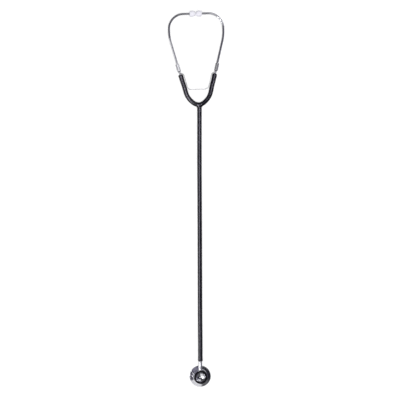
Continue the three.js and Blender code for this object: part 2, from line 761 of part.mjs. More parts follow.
function earHeight(y) {
  const share = (y - EAR_LEVEL_END) / (HEADSET_LENGTH - EAR_LEVEL_END);
  return ARM_HEIGHT + EAR_RISE * THREE.MathUtils.clamp(share, 0, 1);
}

function makeEarTube(name) {
  const points = earTubePlan().map(({ x, y }) => new THREE.Vector3(x, y, earHeight(y)));
  return piece(name, tubeAlong(points, EAR_TUBE_RADIUS, EAR_BORE_RADIUS), 'chrome');
}

// Ear tip and what holds it, turned about the tube's inward end.
// Places are counted back from the tip's front.

function tipPlaces() {
  const insertFront = TIP_FRONT_WALL + FIT;
  const ferruleFront = insertFront + INSERT_FRONT_WALL + FIT;
  const ferruleShoulder = ferruleFront + FERRULE_HEAD_LENGTH;
  return { insertFront, ferruleFront, ferruleShoulder, tubeEnd: ferruleShoulder + FIT };
}

function earTubeEnd() {
  return TIP_GAP / 2 + tipPlaces().tubeEnd;
}

// Lathe solids stand along Y; this lays them inward along the tube's end
function onEarTube(geometry) {
  return geometry
    .rotateZ(-QUARTER_TURN)
    .translate(TIP_GAP / 2, HEADSET_LENGTH, ARM_HEIGHT + EAR_RISE);
}

function makeFerrule(name) {
  const places = tipPlaces();
  const tailRadius = EAR_BORE_RADIUS - FIT;
  const profile = [
    [FERRULE_BORE_RADIUS, places.ferruleFront],
    [EAR_TUBE_RADIUS - FIT, places.ferruleFront],
    [EAR_TUBE_RADIUS, places.ferruleFront + FIT],
    [EAR_TUBE_RADIUS, places.ferruleShoulder],
    [tailRadius, places.ferruleShoulder],
    [tailRadius, places.ferruleShoulder + FERRULE_TAIL_LENGTH],
    [FERRULE_BORE_RADIUS, places.ferruleShoulder + FERRULE_TAIL_LENGTH],
  ];
  return piece(name, onEarTube(turnedRing(profile, SMALL_SIDES)), 'chrome');
}

function makeInsert(name) {
  const places = tipPlaces();
  const bore = EAR_TUBE_RADIUS + FIT;
  const outer = bore + INSERT_WALL;
  const profile = [
    [INSERT_HOLE_RADIUS, places.insertFront],
    [outer, places.insertFront],
    [outer, TIP_LENGTH],
    [bore, TIP_LENGTH],
    [bore, places.insertFront + INSERT_FRONT_WALL],
    [INSERT_HOLE_RADIUS, places.insertFront + INSERT_FRONT_WALL],
  ];
  return piece(name, onEarTube(turnedRing(profile, SMALL_SIDES)), 'whiteNylon');
}

// Soft tip: a blunt dome over a skirt that narrows, hollow underneath round its sleeve
function makeEarTip(name) {
  const insertOuter = EAR_TUBE_RADIUS + FIT + INSERT_WALL;
  const bore = insertOuter + FIT;
  const sleeve = bore + TIP_SLEEVE_WALL;
  const radius = TIP_OD / 2;
  const backRadius = TIP_BACK_OD / 2;
  const recessFloor = TIP_LENGTH - TIP_RECESS_DEPTH;
  const skirtInner = backRadius - TIP_SKIRT_WALL;
  const domeSteps = ARC_STEPS + 1;
  const dome = [];
  const domeLength = TIP_LENGTH * TIP_DOME_SHARE;
  for (let step = 1; step <= domeSteps; step += 1) {
    const angle = QUARTER_TURN * (step / domeSteps);
    dome.push([
      TIP_NOSE_RADIUS + (radius - TIP_NOSE_RADIUS) * Math.sin(angle),
      domeLength * (1 - Math.cos(angle)),
    ]);
  }
  const profile = [
    [TIP_HOLE_RADIUS, 0],
    [TIP_NOSE_RADIUS, 0],
    ...dome,
    [backRadius, TIP_LENGTH - TIP_SKIRT_WALL / 2],
    [backRadius - TIP_SKIRT_WALL / 2, TIP_LENGTH],
    [skirtInner, TIP_LENGTH],
    [skirtInner, recessFloor],
    [sleeve, recessFloor],
    [sleeve, TIP_LENGTH],
    [bore, TIP_LENGTH],
    [bore, TIP_FRONT_WALL],
    [TIP_HOLE_RADIUS, TIP_FRONT_WALL],
  ];
  return piece(name, onEarTube(turnedRing(profile, SMALL_SIDES)), 'clearSoft');
}

// Leaf spring: a flat strip bent to a U, whose ends pass over the ear tubes

function springPlan() {
  const side = -(TUBING_OD / 2 + SPRING_SIDE_GAP);
  const tab = EAR_TUBE_RADIUS + SPRING_TAB_OFFSET + SPRING_THICKNESS / 2;
  const cornerY = SPRING_BOTTOM + SPRING_CORNER_RADIUS;
  const fromAxis = (side - SPRING_CORNER_RADIUS) + (cornerY - ARM_END_Y) * Math.sin(LEAN);
  const cornerX = ARM_END_X + fromAxis / Math.cos(LEAN);
  const corner = arcPoints(
    new THREE.Vector2(cornerX, cornerY),
    SPRING_CORNER_RADIUS,
    -QUARTER_TURN,
    -LEAN,
    ARC_STEPS + 1,
  );
  const crossStart = besideEarTube(SPRING_CROSS_START, side);
  const crossEnd = besideEarTube(SPRING_CROSS_END, tab);
  const end = besideEarTube(SPRING_TAB_END, tab);
  return [
    new THREE.Vector2(0, SPRING_BOTTOM),
    ...corner,
    ...roundedCorner(corner[corner.length - 1], crossStart, crossEnd),
    ...roundedCorner(crossStart, crossEnd, end),
    end,
  ];
}

// A bend of the strip's own radius where two straight runs meet
function roundedCorner(before, at, after) {
  const into = at.clone().sub(before).normalize();
  const out = after.clone().sub(at).normalize();
  const turn = Math.acos(THREE.MathUtils.clamp(into.dot(out), -1, 1));
  const setback = SPRING_BEND_RADIUS * Math.tan(turn / 2);
  const start = at.clone().addScaledVector(into, -setback);
  const finish = at.clone().addScaledVector(out, setback);
  return new THREE.QuadraticBezierCurve(start, at, finish).getPoints(ARC_STEPS - 1);
}

// Outline of a strip of even thickness along a line of points
function ribbonShape(line, thickness) {
  const left = [];
  const right = [];
  line.forEach((point, index) => {
    const before = line[Math.max(index - 1, 0)];
    const after = line[Math.min(index + 1, line.length - 1)];
    const along = after.clone().sub(before).normalize();
    const across = new THREE.Vector2(-along.y, along.x).multiplyScalar(thickness / 2);
    left.push(point.clone().add(across));
    right.push(point.clone().sub(across));
  });
  return new THREE.Shape([...right, ...left.reverse()]);
}

function alongEarTube(from, to, radius, side) {
  const ends = [from, to].map((along) => {
    const { x, y } = besideEarTube(along, 0);
    return new THREE.Vector3(side * x, y, ARM_HEIGHT);
  });
  return tubeAlong(ends, radius);
}

// Waste on both edges of the strip, past the crossing, that leaves the narrow tab
function tabWaste(side) {
  const length = SPRING_TAB_END - SPRING_CROSS_END + 2 * OVERRUN;
  const reach = EAR_TUBE_OD + SPRING_WIDTH;
  const edge = (SPRING_WIDTH - SPRING_TAB_WIDTH) / 2 + OVERRUN;
  const middle = besideEarTube(SPRING_CROSS_END + length / 2, 0);
  return [-1, 1].map((edgeSide) => new THREE.BoxGeometry(reach, length, edge)
    .rotateZ(-side * LEAN)
    .translate(
      side * middle.x,
      middle.y,
      ARM_HEIGHT + edgeSide * (SPRING_TAB_WIDTH / 2 + edge / 2),
    ));
}

function makeLeafSpring() {
  const right = springPlan();
  const left = right.slice(1).map(({ x, y }) => new THREE.Vector2(-x, y)).reverse();
  const strip = new THREE.ExtrudeGeometry(ribbonShape([...left, ...right], SPRING_THICKNESS), {
    depth: SPRING_WIDTH,
    bevelEnabled: false,
  }).translate(0, 0, ARM_HEIGHT - SPRING_WIDTH / 2);
  const slotRadius = (EAR_TUBE_RADIUS + FIT) / Math.cos(Math.PI / TUBE_SIDES);
  let spring = solid(strip);
  for (const side of [-1, 1]) {
    spring = spring.subtract(solid(alongEarTube(
      SPRING_CROSS_START - SPRING_WIDTH,
      SPRING_TAB_END + SPRING_WIDTH,
      slotRadius,
      side,
    )));
    for (const waste of tabWaste(side)) {
      spring = spring.subtract(solid(waste));
    }
  }
  return piece('leaf_spring', geometryOf(spring), 'springSteel');
}

// Clip: a sleeve that holds the spring's tab against the ear tube

function roundedRectangle(fromX, toX, depth, corner) {
  const half = depth / 2;
  const corners = [
    [toX - corner, half - corner],
    [fromX + corner, half - corner],
    [fromX + corner, -half + corner],
    [toX - corner, -half + corner],
  ];
  const points = corners.flatMap(([x, y], index) => arcPoints(
    new THREE.Vector2(x, y),
    corner,
    index * QUARTER_TURN,
    (index + 1) * QUARTER_TURN,
    ARC_STEPS - 1,
  ));
  return new THREE.Shape(points);
}

function makeSpringClip(name) {
  const inner = -(EAR_TUBE_RADIUS + FIT);
  const outer = EAR_TUBE_RADIUS + SPRING_TAB_OFFSET + SPRING_THICKNESS + CLIP_SLEEVE_PLAY;
  const wall = CLIP_SLEEVE_WALL;
  const section = roundedRectangle(
    inner - wall,
    outer + wall,
    CLIP_SLEEVE_DEPTH + 2 * wall,
    CLIP_SLEEVE_CORNER + wall,
  );
  section.holes.push(roundedRectangle(inner, outer, CLIP_SLEEVE_DEPTH, CLIP_SLEEVE_CORNER));
  const place = besideEarTube(CLIP_SLEEVE_START, 0);
  const sleeve = new THREE.ExtrudeGeometry(section, {
    depth: CLIP_SLEEVE_LENGTH,
    bevelEnabled: false,
  })
    .rotateX(-QUARTER_TURN)
    .rotateZ(-LEAN)
    .translate(place.x, place.y, ARM_HEIGHT);
  return piece(name, sleeve, 'chrome');
}

// Assembly

function makeChestpiece() {
  const chestpiece = new THREE.Group();
  chestpiece.add(
    makeChestpieceBody(),
    makeDiaphragm(),
    makeRetainingRing(),
    makeBellRing(),
    makeStem(),
    makeORing(),
    makeThrustWasher(),
    makeRetainingClip(),
    makeDetentBall(),
    makeDetentSpring(),
    makeDetentScrew(),
  );
  return chestpiece;
}

// The pieces of one ear tube are modelled on the right and mirrored for the left
function mirrored(mesh) {
  const geometry = mesh.geometry.clone().scale(-1, 1, 1);
  const flat = geometry.index ? geometry.toNonIndexed() : geometry;
  const corners = flat.attributes.position;
  const facetCorners = 3;
  for (let corner = 0; corner < corners.count; corner += facetCorners) {
    const second = new THREE.Vector3().fromBufferAttribute(corners, corner + 1);
    const third = new THREE.Vector3().fromBufferAttribute(corners, corner + 2);
    corners.setXYZ(corner + 1, third.x, third.y, third.z);
    corners.setXYZ(corner + 2, second.x, second.y, second.z);
  }
  flat.computeVertexNormals();
  mesh.geometry = flat;
  return mesh;
}

function earPieces(side) {
  return [
    makeEarTube(`${side}_ear_tube`),
    makeFerrule(`${side}_tip_ferrule`),
    makeInsert(`${side}_tip_insert`),
    makeEarTip(`${side}_ear_tip`),
    makeSpringClip(`${side}_spring_clip`),
  ];
}

function makeHeadset() {
  const headset = new THREE.Group();
  headset.applyMatrix4(headsetPlace);
  headset.add(...earPieces('right'));
  headset.add(...earPieces('left').map(mirrored));
  headset.add(makeLeafSpring());
  return headset;
}

const stethoscope = new THREE.Group();
stethoscope.add(makeChestpiece(), makeTubing(), makeHeadset());

export default stethoscope;
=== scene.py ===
# Dual-head stethoscope, laid flat on a pale table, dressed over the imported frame.
# Shapes are worked out in millimetres and become metres when their mesh is made.

import math

import bmesh
import bpy
import numpy as np
from mathutils import Matrix, Quaternion, Vector


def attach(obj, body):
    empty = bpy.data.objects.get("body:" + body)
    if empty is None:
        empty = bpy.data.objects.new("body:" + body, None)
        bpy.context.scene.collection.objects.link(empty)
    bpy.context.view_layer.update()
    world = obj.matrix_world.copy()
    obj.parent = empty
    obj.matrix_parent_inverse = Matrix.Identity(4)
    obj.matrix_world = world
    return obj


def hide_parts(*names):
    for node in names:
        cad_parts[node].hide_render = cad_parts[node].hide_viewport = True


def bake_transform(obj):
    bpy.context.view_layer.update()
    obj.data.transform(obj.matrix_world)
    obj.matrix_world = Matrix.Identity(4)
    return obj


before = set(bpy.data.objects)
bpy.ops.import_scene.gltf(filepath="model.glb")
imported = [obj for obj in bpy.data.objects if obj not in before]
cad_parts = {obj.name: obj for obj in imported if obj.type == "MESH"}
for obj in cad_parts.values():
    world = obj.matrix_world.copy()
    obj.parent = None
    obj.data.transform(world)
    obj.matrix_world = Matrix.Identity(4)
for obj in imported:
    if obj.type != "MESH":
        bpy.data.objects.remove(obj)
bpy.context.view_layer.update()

MM = 0.001
TAU = 2 * math.pi
QUARTER = math.pi / 2
SIDES = (("left", -1), ("right", 1))
FIT = 0.3  # clearance between pieces that touch in use

# Lie of the whole object, as the frame has it
STEM_AXIS = 13
STEM_END = 32.2  # where the tubing begins, from the head's centre
TRUNK_TOP = 565.1
TRUNK_DRIFT = -1.4
TUBING_RADIUS = 4.7
ARM_HEIGHT = TUBING_RADIUS
ARM_END = np.array((35.9, 62.6))
HEADSET_SHIFT = -2.7  # headset's axis at the junction, beside the stem's axis
HEADSET_TURN = math.radians(2.2)
HEADSET_LENGTH = 187.3  # from the junction to the ear tips' axis
LEAN = math.radians(14.7)  # of the ear tubes' straight parts
CHEST = Matrix.Translation((0, 0, STEM_AXIS))
HEADSET = Matrix.Translation((HEADSET_SHIFT, TRUNK_TOP, 0)) @ Matrix.Rotation(HEADSET_TURN, 4, "Z")

# Directions along the right ear tube's straight part and outward from it, in the headset's plane
ALONG = np.array((math.sin(LEAN), math.cos(LEAN)))
OUTWARD = np.array((math.cos(LEAN), -math.sin(LEAN)))

# Junction of trunk and arms
YOKE_ARM_STEPS = 14  # points of each arm's line
YOKE_REACH = 17  # down the trunk from its top
YOKE_TRUNK_GAP = 2.6  # where the trunk's line stops, under its top
YOKE_BLEND = 3.6  # reach of the fillet
YOKE_SKIN = 0.03  # proud of the plain tubing
YOKE_SPARE = 0.3  # extra radius, before the points are drawn to the skin
YOKE_VOXEL = 0.55
OVER_TABLE = 0.02  # lowest height of arms and yoke

# Chestpiece's diaphragm side: radii, and heights from the diaphragm's face
HEAD_RADIUS = 22
SPIGOT_RADIUS = 20.3
DIAPHRAGM_THICKNESS = 0.4
DIAPHRAGM_FACE_RADIUS = 18.2
DIAPHRAGM_STEP = 0.7
LIP_BORE = 19.2
LIP_BOTTOM = 0.4
LIP_TOP = 1.1
RING_TOP = 4.6
SEAT_WIDTH = 1.6  # rim that presses the diaphragm's edge
SEAT_HEIGHT = 2.1
CUP_FLOOR = 5.4
CUP_FLAT_RADIUS = 2.6
CUP_EDGE_WIDTH = 3
CUP_EDGE_HEIGHT = 3.68
CUP_LIP_HEIGHT = 2.9
SHOULDER = 4.9
FLANGE_TOP = 6.5
FLANGE_EDGE = 21.5
BACK_TOP = 8
BACK_TOP_RADIUS = 9.4
SCORE_DEPTH = 0.14  # fine line in the cup's back
RIDGE_HEIGHT = 0.28  # low step in the cup's back

# Chestpiece's hub and bell
NECK_RADIUS = 6.6
THROAT_RADIUS = 1.5
HUB_RADIUS = 5
HUB_FRONT = 9
HUB_BACK = 7.4
FLARE_START = 17.2
BELL_FLOOR = 18.2  # bottom of the bowl
BELL_RIM = 25.1
BELL_RIM_RADIUS = 12.2
BELL_MOUTH_RADIUS = 10.9
BEAD_BOTTOM = 22.6
BEAD_RADIUS = 12.8
BELL_RING_RADIUS = 13.5
BELL_RING_BORE = 10.5
BELL_RING_BOTTOM = 22.5
BELL_RING_TOP = 26.8

# Stem: places along it are counted from the head's centre
SPINDLE_RADIUS = 2.5
SPINDLE_TAIL = 1.7  # past the retaining clip
STEM_RADIUS = 3.6
STEM_FLANGE_RADIUS = 4.4
STEM_FLANGE_THICKNESS = 1
WASHER_THICKNESS = 0.6
RETAINER_THICKNESS = 0.5  # of the retaining clip behind the hub
RETAINER_ROOT = 1.9
DETENT_PLACE = -4.6  # groove round the spindle that the ball rides in
DETENT_ROOT = 2.05
DETENT_POCKET_RADIUS = 1.2
O_RING_PLACE = 5.2
O_RING_ROOT = 1.6
TURNED_LINE_PLACE = 26  # fine line round the shaft
PORT_RADIUS = 1.1
BARB_RADIUS = 1.9
BARB_CREST = 2.05
BARB_PITCH = 5.9
BARBS_LENGTH = 18

# Ear tubes and tips
EAR_TUBE_RADIUS = 2.35
EAR_BOW_RADIUS = 85.5
EAR_BOW_END_SHARE = 0.8105
EAR_BEND_SHARE = 0.1618
EAR_RISE = 9.3
EAR_LEVEL_END = 90  # past here the tube rises off the table
EAR_EASE_SHARE = 0.06  # of the rise, on both sides of that place
SOCKET_DEPTH = 16  # ear tube pushed this far into its arm
TIP_GAP = 0.8
TIP_LENGTH = 12
TIP_RADIUS = 6.3
TIP_NOSE = 2.2  # radius of the flat front
TIP_DOME = 6.6  # length of the dome
TIP_HOLE = 1.3
TIP_FRONT_WALL = 1.6
TIP_SKIRT_BORE = 4.8
TIP_RECESS = 8.8  # floor of the hollow under the skirt
TIP_SLEEVE_WALL = 0.6
TIP_SLEEVE_SHORT = 0.1  # sleeve's end, inside the skirt's edge
TUBE_BEHIND_TIP_FRONT = 9.5
INSERT_WALL = 0.5
INSERT_FRONT_WALL = 1

# Leaf spring and its clips: places along the ear tube are counted from the arm's end
SPRING_BOTTOM = 31
SPRING_CORNER_RADIUS = 9
SPRING_BEND_RADIUS = 1.6
SPRING_SIDE_GAP = 2.1  # between the strip and the rubber arm
SPRING_CROSS_START = -0.5
SPRING_CROSS_END = 6
SPRING_TAB_END = 21
SPRING_TAB_LENGTH = 15
SPRING_TAB_OFFSET = 0.42  # between the tab and the ear tube
SPRING_HALF_THICK = 0.3
SPRING_HALF_WIDTH = 3.75
SPRING_TAB_NARROWING = 1.65  # of the half width
CLIP_START = 6.9
CLIP_LENGTH = 15.5
CLIP_WALL = 0.6
CLIP_HALF_DEPTH = 3.1  # inside, from table side to top side
CLIP_CORNER = 1.8

# Camera and room, in metres
LENS = 121
CAMERA_AIM = (-0.0003, 0.3662, 0.0047)
CAMERA_DISTANCE = 2.7953
CAMERA_LEAN = math.radians(3.27)
FLOOR_SIZE = 12
FLOOR_PLACE = (0, 0.37, -0.0003)
CARD_HEIGHT = 1.3
LAMP_HEIGHT = 1.29
LAVENDER = (0.8, 0.76, 1)

# Shares of the trunk's length, of the stem's height over the arms, and of its drift
TRUNK_SHARES = [
    (0, 1, 0), (0.017, 1, 0), (0.036, 1, 0), (0.058, 0.952, 0.01), (0.084, 0.807, 0.03),
    (0.114, 0.59, 0.05), (0.148, 0.349, 0.08), (0.182, 0.157, 0.11), (0.216, 0.036, 0.14),
    (0.253, 0, 0.17), (0.31, 0, 0.24), (0.384, 0, 0.34), (0.474, 0, 0.47), (0.564, 0, 0.62),
    (0.655, 0, 0.78), (0.745, 0, 0.93), (0.835, 0, 1), (0.917, 0, 1), (1, 0, 1),
]

# The right arm's route in the headset's plane, from the junction
ARM_ROUTE = [
    (0, -0.6), (4.4, 0), (8.6, 1.8), (12.5, 4.6), (16.2, 8.1), (19.5, 11.9), (22.2, 16),
    (24.3, 20.5), (25.9, 25.5), (27.3, 31), (28.8, 37), (30.3, 42.4), (31.8, 47.1),
]


# Camera, over the middle of the picture and a little left of it, aimed back at the middle

def make_camera():
    data = bpy.data.cameras.new("camera")
    data.lens = LENS
    data.sensor_width = 36
    data.clip_start = 0.05
    data.clip_end = 60
    camera = bpy.data.objects.new("camera", data)
    x, y, z = CAMERA_AIM
    x -= CAMERA_DISTANCE * math.sin(CAMERA_LEAN)
    z += CAMERA_DISTANCE * math.cos(CAMERA_LEAN)
    camera.location = (x, y, z)
    camera.rotation_euler = (0, -CAMERA_LEAN, 0)
    bpy.context.scene.collection.objects.link(camera)
    bpy.context.scene.camera = camera


make_camera()


# Meshes

def mesh_object(name, points, faces, place=None):
    """A new smooth-shaded object from points in millimetres, moved by a matrix in millimetres."""
    points = np.array(points, float)
    if place is not None:
        m = np.array(place)
        points = points @ m[:3, :3].T + m[:3, 3]
    mesh = bpy.data.meshes.new(name)
    mesh.from_pydata([tuple(p) for p in points * MM], [], [tuple(f) for f in faces])
    made = bmesh.new()
    made.from_mesh(mesh)
    bmesh.ops.recalc_face_normals(made, faces=made.faces)
    made.to_mesh(mesh)
    made.free()
    obj = bpy.data.objects.new(name, mesh)
    bpy.context.scene.collection.objects.link(obj)
    return shaded(obj)


def shaded(obj, angle=38):
    """Smooth faces that stay sharp at edges over the angle."""
    obj.data.shade_smooth()
    obj.data.set_sharp_from_angle(angle=math.radians(angle))
    return obj


def even(obj):
    """Large faces keep their own direction beside fillets, so flat metal reflects as flat."""
    modifier = obj.modifiers.new("even", "WEIGHTED_NORMAL")
    modifier.keep_sharp = True
    modifier.weight = 80
    return obj


def bridged(rings, closed):
    """Faces between rings of point numbers; a ring of one point is a pole."""
    if closed:
        rings = [*rings, rings[0]]
    faces = []
    for low, high in zip(rings, rings[1:]):
        count = max(len(low), len(high))
        for k in range(count):
            corners = [
                low[k % len(low)],
                low[(k + 1) % len(low)],
                high[(k + 1) % len(high)],
                high[k % len(high)],
            ]
            corners = list(dict.fromkeys(corners))
            if len(corners) > 2:
                faces.append(corners)
    return faces


def turned(name, profile, sides=144, axis="z", place=None):
    """A turned piece. The profile goes round its section as (radius, height) pairs."""
    points, rings = [], []
    for radius, height in profile:
        count = 1 if radius < 1e-6 else sides
        rings.append(range(len(points), len(points) + count))
        for k in range(count):
            angle = TAU * k / sides
            across = (radius * math.cos(angle), radius * math.sin(angle))
            if axis == "z":
                points.append((across[0], across[1], height))
            elif axis == "y":
                points.append((across[0], height, across[1]))
            else:
                points.append((height, across[0], across[1]))
    closed = len(rings[0]) > 1 and len(rings[-1]) > 1
    return mesh_object(name, points, bridged(rings, closed), place)


def cylinder(radius, low, high, sides, axis, place, fillet=0):
    """A plain or rounded bar that joins or cuts another piece."""
    profile = filleted([(0, low, 0), (radius, low, fillet), (radius, high, fillet), (0, high, 0)])
    return turned("cylinder", profile, sides, axis, place)


def groove(radius, root, place, width, foot, lip=0.05, corner=0.05):
    """Corners of a groove round a shaft, from its width at the surface and at its foot."""
    return [
        (radius, place - width / 2, lip), (root, place - foot / 2, corner),
        (root, place + foot / 2, corner), (radius, place + width / 2, lip),
    ]


def filleted(corners, steps=4):
    """An outline with rounded corners, from (radius, height, fillet) triples."""
    out = []
    for i, (radius, height, fillet) in enumerate(corners):
        here = np.array((radius, height), float)
        if fillet <= 0:
            out.append(tuple(here))
            continue
        before = np.array(corners[i - 1][:2], float) - here
        after = np.array(corners[(i + 1) % len(corners)][:2], float) - here
        lengths = np.linalg.norm(before), np.linalg.norm(after)
        before, after = before / lengths[0], after / lengths[1]
        angle = math.acos(max(-1, min(1, float(before @ after))))
        setback = min(fillet / math.tan(angle / 2), 0.48 * min(lengths))
        for k in range(steps + 1):
            t = k / steps
            out.append(tuple(here + before * setback * (1 - t) ** 2 + after * setback * t**2))
    return out


def spline(points, step):
    """Points about step apart on a smooth curve through the given ones."""
    p = np.array(points, float)
    p = np.vstack([2 * p[0] - p[1], p, 2 * p[-1] - p[-2]])
    out = []
    for i in range(1, len(p) - 2):
        a, b, c, d = p[i - 1 : i + 3]
        count = max(2, int(np.linalg.norm(c - b) / step) + 1)
        for k in range(count):
            t = k / count
            square = (2 * a - 5 * b + 4 * c - d) * t**2
            cube = (3 * b - 3 * c + d - a) * t**3
            out.append(0.5 * (2 * b + (c - a) * t + square + cube))
    out.append(p[-2])
    return np.array(out)


def lengths_along(line):
    """How far each point of a line is from its start, along the line."""
    return np.concatenate([[0], np.cumsum(np.linalg.norm(np.diff(line, axis=0), axis=1))])


def at_lengths(line, lengths):
    """Points of a line at given lengths from its start."""
    along = lengths_along(line)
    return np.stack([np.interp(lengths, along, line[:, k]) for k in range(3)], axis=1)


def rounded_ends(length, step, rounding, turns=6):
    """Places along a bar and how much its radius draws in there, with a quarter round at both ends."""
    angles = [QUARTER * k / turns for k in range(turns + 1)]
    start = [(rounding * (1 - math.cos(a)), rounding * (1 - math.sin(a))) for a in angles]
    count = max(2, int((length - 2 * rounding) / step))
    middle = [(rounding + (length - 2 * rounding) * k / count, 0) for k in range(1, count)]
    return start + middle + [(length - place, draw) for place, draw in reversed(start)]


def tube(name, line, radius, sides=48, step=2.5, rounding=0.8, lowest=None):
    """A closed tube along a line in millimetres, and its ring centres in metres."""
    length = lengths_along(line)[-1]
    ends = rounded_ends(length, step, rounding)
    centres = at_lengths(line, [place for place, _ in ends])
    tangents = np.gradient(centres, axis=0)
    tangents /= np.linalg.norm(tangents, axis=1)[:, None]
    across = np.cross(tangents, (0, 0, 1))
    across /= np.linalg.norm(across, axis=1)[:, None]
    up = np.cross(across, tangents)
    points, rings = [centres[0]], [[0]]
    for (place, draw), centre, x, y in zip(ends, centres, across, up):
        rings.append(range(len(points), len(points) + sides))
        r = (radius(place) if callable(radius) else radius) - draw
        for k in range(sides):
            angle = TAU * k / sides
            points.append(centre + r * (math.cos(angle) * x + math.sin(angle) * y))
    rings.append([len(points)])
    points.append(centres[-1])
    points = np.array(points)
    if lowest is not None:
        points[:, 2] = np.maximum(points[:, 2], lowest)
    return mesh_object(name, points, bridged(rings, False)), centres * MM


def apply_modifiers(obj):
    """The object keeps the mesh that its modifiers make."""
    graph = bpy.context.evaluated_depsgraph_get()
    mesh = bpy.data.meshes.new_from_object(obj.evaluated_get(graph))
    obj.modifiers.clear()
    obj.data = mesh


def cut(obj, other, operation="DIFFERENCE"):
    """Cuts or joins another object, which is used up."""
    modifier = obj.modifiers.new("cut", "BOOLEAN")
    modifier.operation = operation
    modifier.solver = "EXACT"
    modifier.object = other
    apply_modifiers(obj)
    bpy.data.objects.remove(other)
    return shaded(obj)


def dress(obj, material):
    """The object has this one material."""
    obj.data.materials.clear()
    obj.data.materials.append(material)


def finish_piece(obj, body, node, material):
    """A piece that rides on one body and stands for one node of the frame."""
    dress(obj, material)
    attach(obj, body)
    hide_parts(node)
    return obj


# Places on the headset

def beside_ear_tube(along, outward):
    """A point in the headset's plane, along the right ear tube's straight part and outward."""
    return ARM_END + along * ALONG + outward * OUTWARD


def on_headset(points):
    """Points of the headset's own frame, on the table."""
    m = np.array(HEADSET)
    return np.array(points, float) @ m[:3, :3].T + m[:3, 3]


def level(plan):
    """A plan at the height of the arms."""
    return np.column_stack([plan, np.full(len(plan), ARM_HEIGHT)])


# The tubing: three cords that meet in a moulded yoke

def trunk_line():
    points = [
        (
            TRUNK_DRIFT * drift,
            STEM_END + (TRUNK_TOP - STEM_END) * along,
            ARM_HEIGHT + (STEM_AXIS - ARM_HEIGHT) * height,
        )
        for along, height, drift in TRUNK_SHARES
    ]
    return spline(points, 2)


def arm_line(side):
    end = beside_ear_tube(0, 0)
    before = beside_ear_tube(-5, 0)
    plan = [*ARM_ROUTE, tuple(before), tuple(end)]
    return on_headset(spline([(side * x, y, ARM_HEIGHT) for x, y in plan], 1))


def swell(place, start, length, amount):
    """A soft collar of extra radius that fades over a length."""
    share = min(1, abs(place - start) / length)
    return amount * (1 + math.cos(math.pi * share)) / 2


def make_cord():
    """Hides the frame's tubing node, which the new tubing pieces stand for."""
    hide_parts("y_tubing")


def make_trunk():
    trunk, path = tube(
        "tubing_trunk", trunk_line(), lambda s: TUBING_RADIUS + swell(s, 1.5, 7, 0.35), step=3
    )
    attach(trunk, "root")
    make_cord()
    return trunk


def make_arm(name, side):
    line = arm_line(side)
    end = lengths_along(line)[-1]
    arm, path = tube(
        f"tubing_{name}_arm", line, lambda s: TUBING_RADIUS + swell(s, end - 2, 12, 0.25),
        step=1.2, rounding=1.7, lowest=OVER_TABLE,
    )
    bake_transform(arm)
    make_cord()
    return arm


def from_line(points, line):
    """How far each point is from a line of points."""
    best = np.full(len(points), 1e9)
    for a, b in zip(line, line[1:]):
        d = b - a
        t = np.clip(((points - a) @ d) / (d @ d), 0, 1)
        best = np.minimum(best, np.linalg.norm(points - a - t[:, None] * d, axis=1))
    return best


def soft_min(a, b, blend):
    """The smaller of two distances, rounded off where they are alike."""
    h = np.clip(0.5 + 0.5 * (b - a) / blend, 0, 1)
    return b * (1 - h) + a * h - blend * h * (1 - h)


def drawn_to_skin(points, arms, trunk):
    """Points moved onto the blended skin round the lines, with a flat face at each open end."""

    def depth(places):
        between = soft_min(from_line(places, arms), from_line(places, trunk), YOKE_BLEND)
        return between - TUBING_RADIUS - YOKE_SKIN

    ends = np.array([arms[0], arms[-1], trunk[0]])
    inward = np.array([arms[1] - arms[0], arms[-2] - arms[-1], trunk[1] - trunk[0]])
    inward /= np.linalg.norm(inward, axis=1)[:, None]
    probe = 0.05
    for _ in range(8):
        d = depth(points)
        rises = [depth(points + e) - depth(points - e) for e in np.eye(3) * probe]
        slope = np.stack(rises, axis=1) / (2 * probe)
        slope /= np.maximum(np.linalg.norm(slope, axis=1), 1e-6)[:, None]
        points = points - slope * d[:, None]
        for end, way in zip(ends, inward):
            near = np.linalg.norm(points - end, axis=1) < 2 * TUBING_RADIUS
            short = np.minimum((points - end) @ way, 0) * near
            points = points - short[:, None] * way
    points[:, 2] = np.maximum(points[:, 2], OVER_TABLE)
    return points


def make_yoke():
    """The junction: the trunk and the arms run into each other over small fillets."""
    left = arm_line(-1)[:YOKE_ARM_STEPS]
    right = arm_line(1)[1:YOKE_ARM_STEPS]
    arms = np.vstack([left[::-1], right])
    trunk = trunk_line()
    trunk = trunk[trunk[:, 1] > TRUNK_TOP - YOKE_REACH]
    trunk = trunk[trunk[:, 1] < TRUNK_TOP - YOKE_TRUNK_GAP]
    into_arms = np.vstack([trunk, trunk[-1] + (0, 3, 0)])
    rough = {"radius": TUBING_RADIUS + YOKE_SKIN + YOKE_SPARE, "sides": 32, "step": 1, "rounding": 0.3}
    yoke, _ = tube("tubing_yoke", arms, **rough)
    stub, _ = tube("stub", into_arms, **rough)
    joined = bmesh.new()
    joined.from_mesh(yoke.data)
    joined.from_mesh(stub.data)
    joined.to_mesh(yoke.data)
    joined.free()
    bpy.data.objects.remove(stub)
    remesh = yoke.modifiers.new("remesh", "REMESH")
    remesh.mode = "VOXEL"
    remesh.voxel_size = YOKE_VOXEL * MM
    apply_modifiers(yoke)
    mesh = yoke.data
    points = np.array([v.co for v in mesh.vertices], float) / MM
    points = drawn_to_skin(points, arms, trunk)
    mesh.vertices.foreach_set("co", (points * MM).ravel())
    mesh.update()
    shaded(yoke, 60)
    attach(yoke, "root")
    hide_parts("y_tubing")
    return yoke


tubing_pieces = [make_trunk(), *(make_arm(name, side) for name, side in SIDES), make_yoke()]


# Chestpiece

def back_at(radius):
    """Height of the cup's sloping back."""
    return FLANGE_TOP + (FLANGE_EDGE - radius) * (BACK_TOP - FLANGE_TOP) / (FLANGE_EDGE - BACK_TOP_RADIUS)


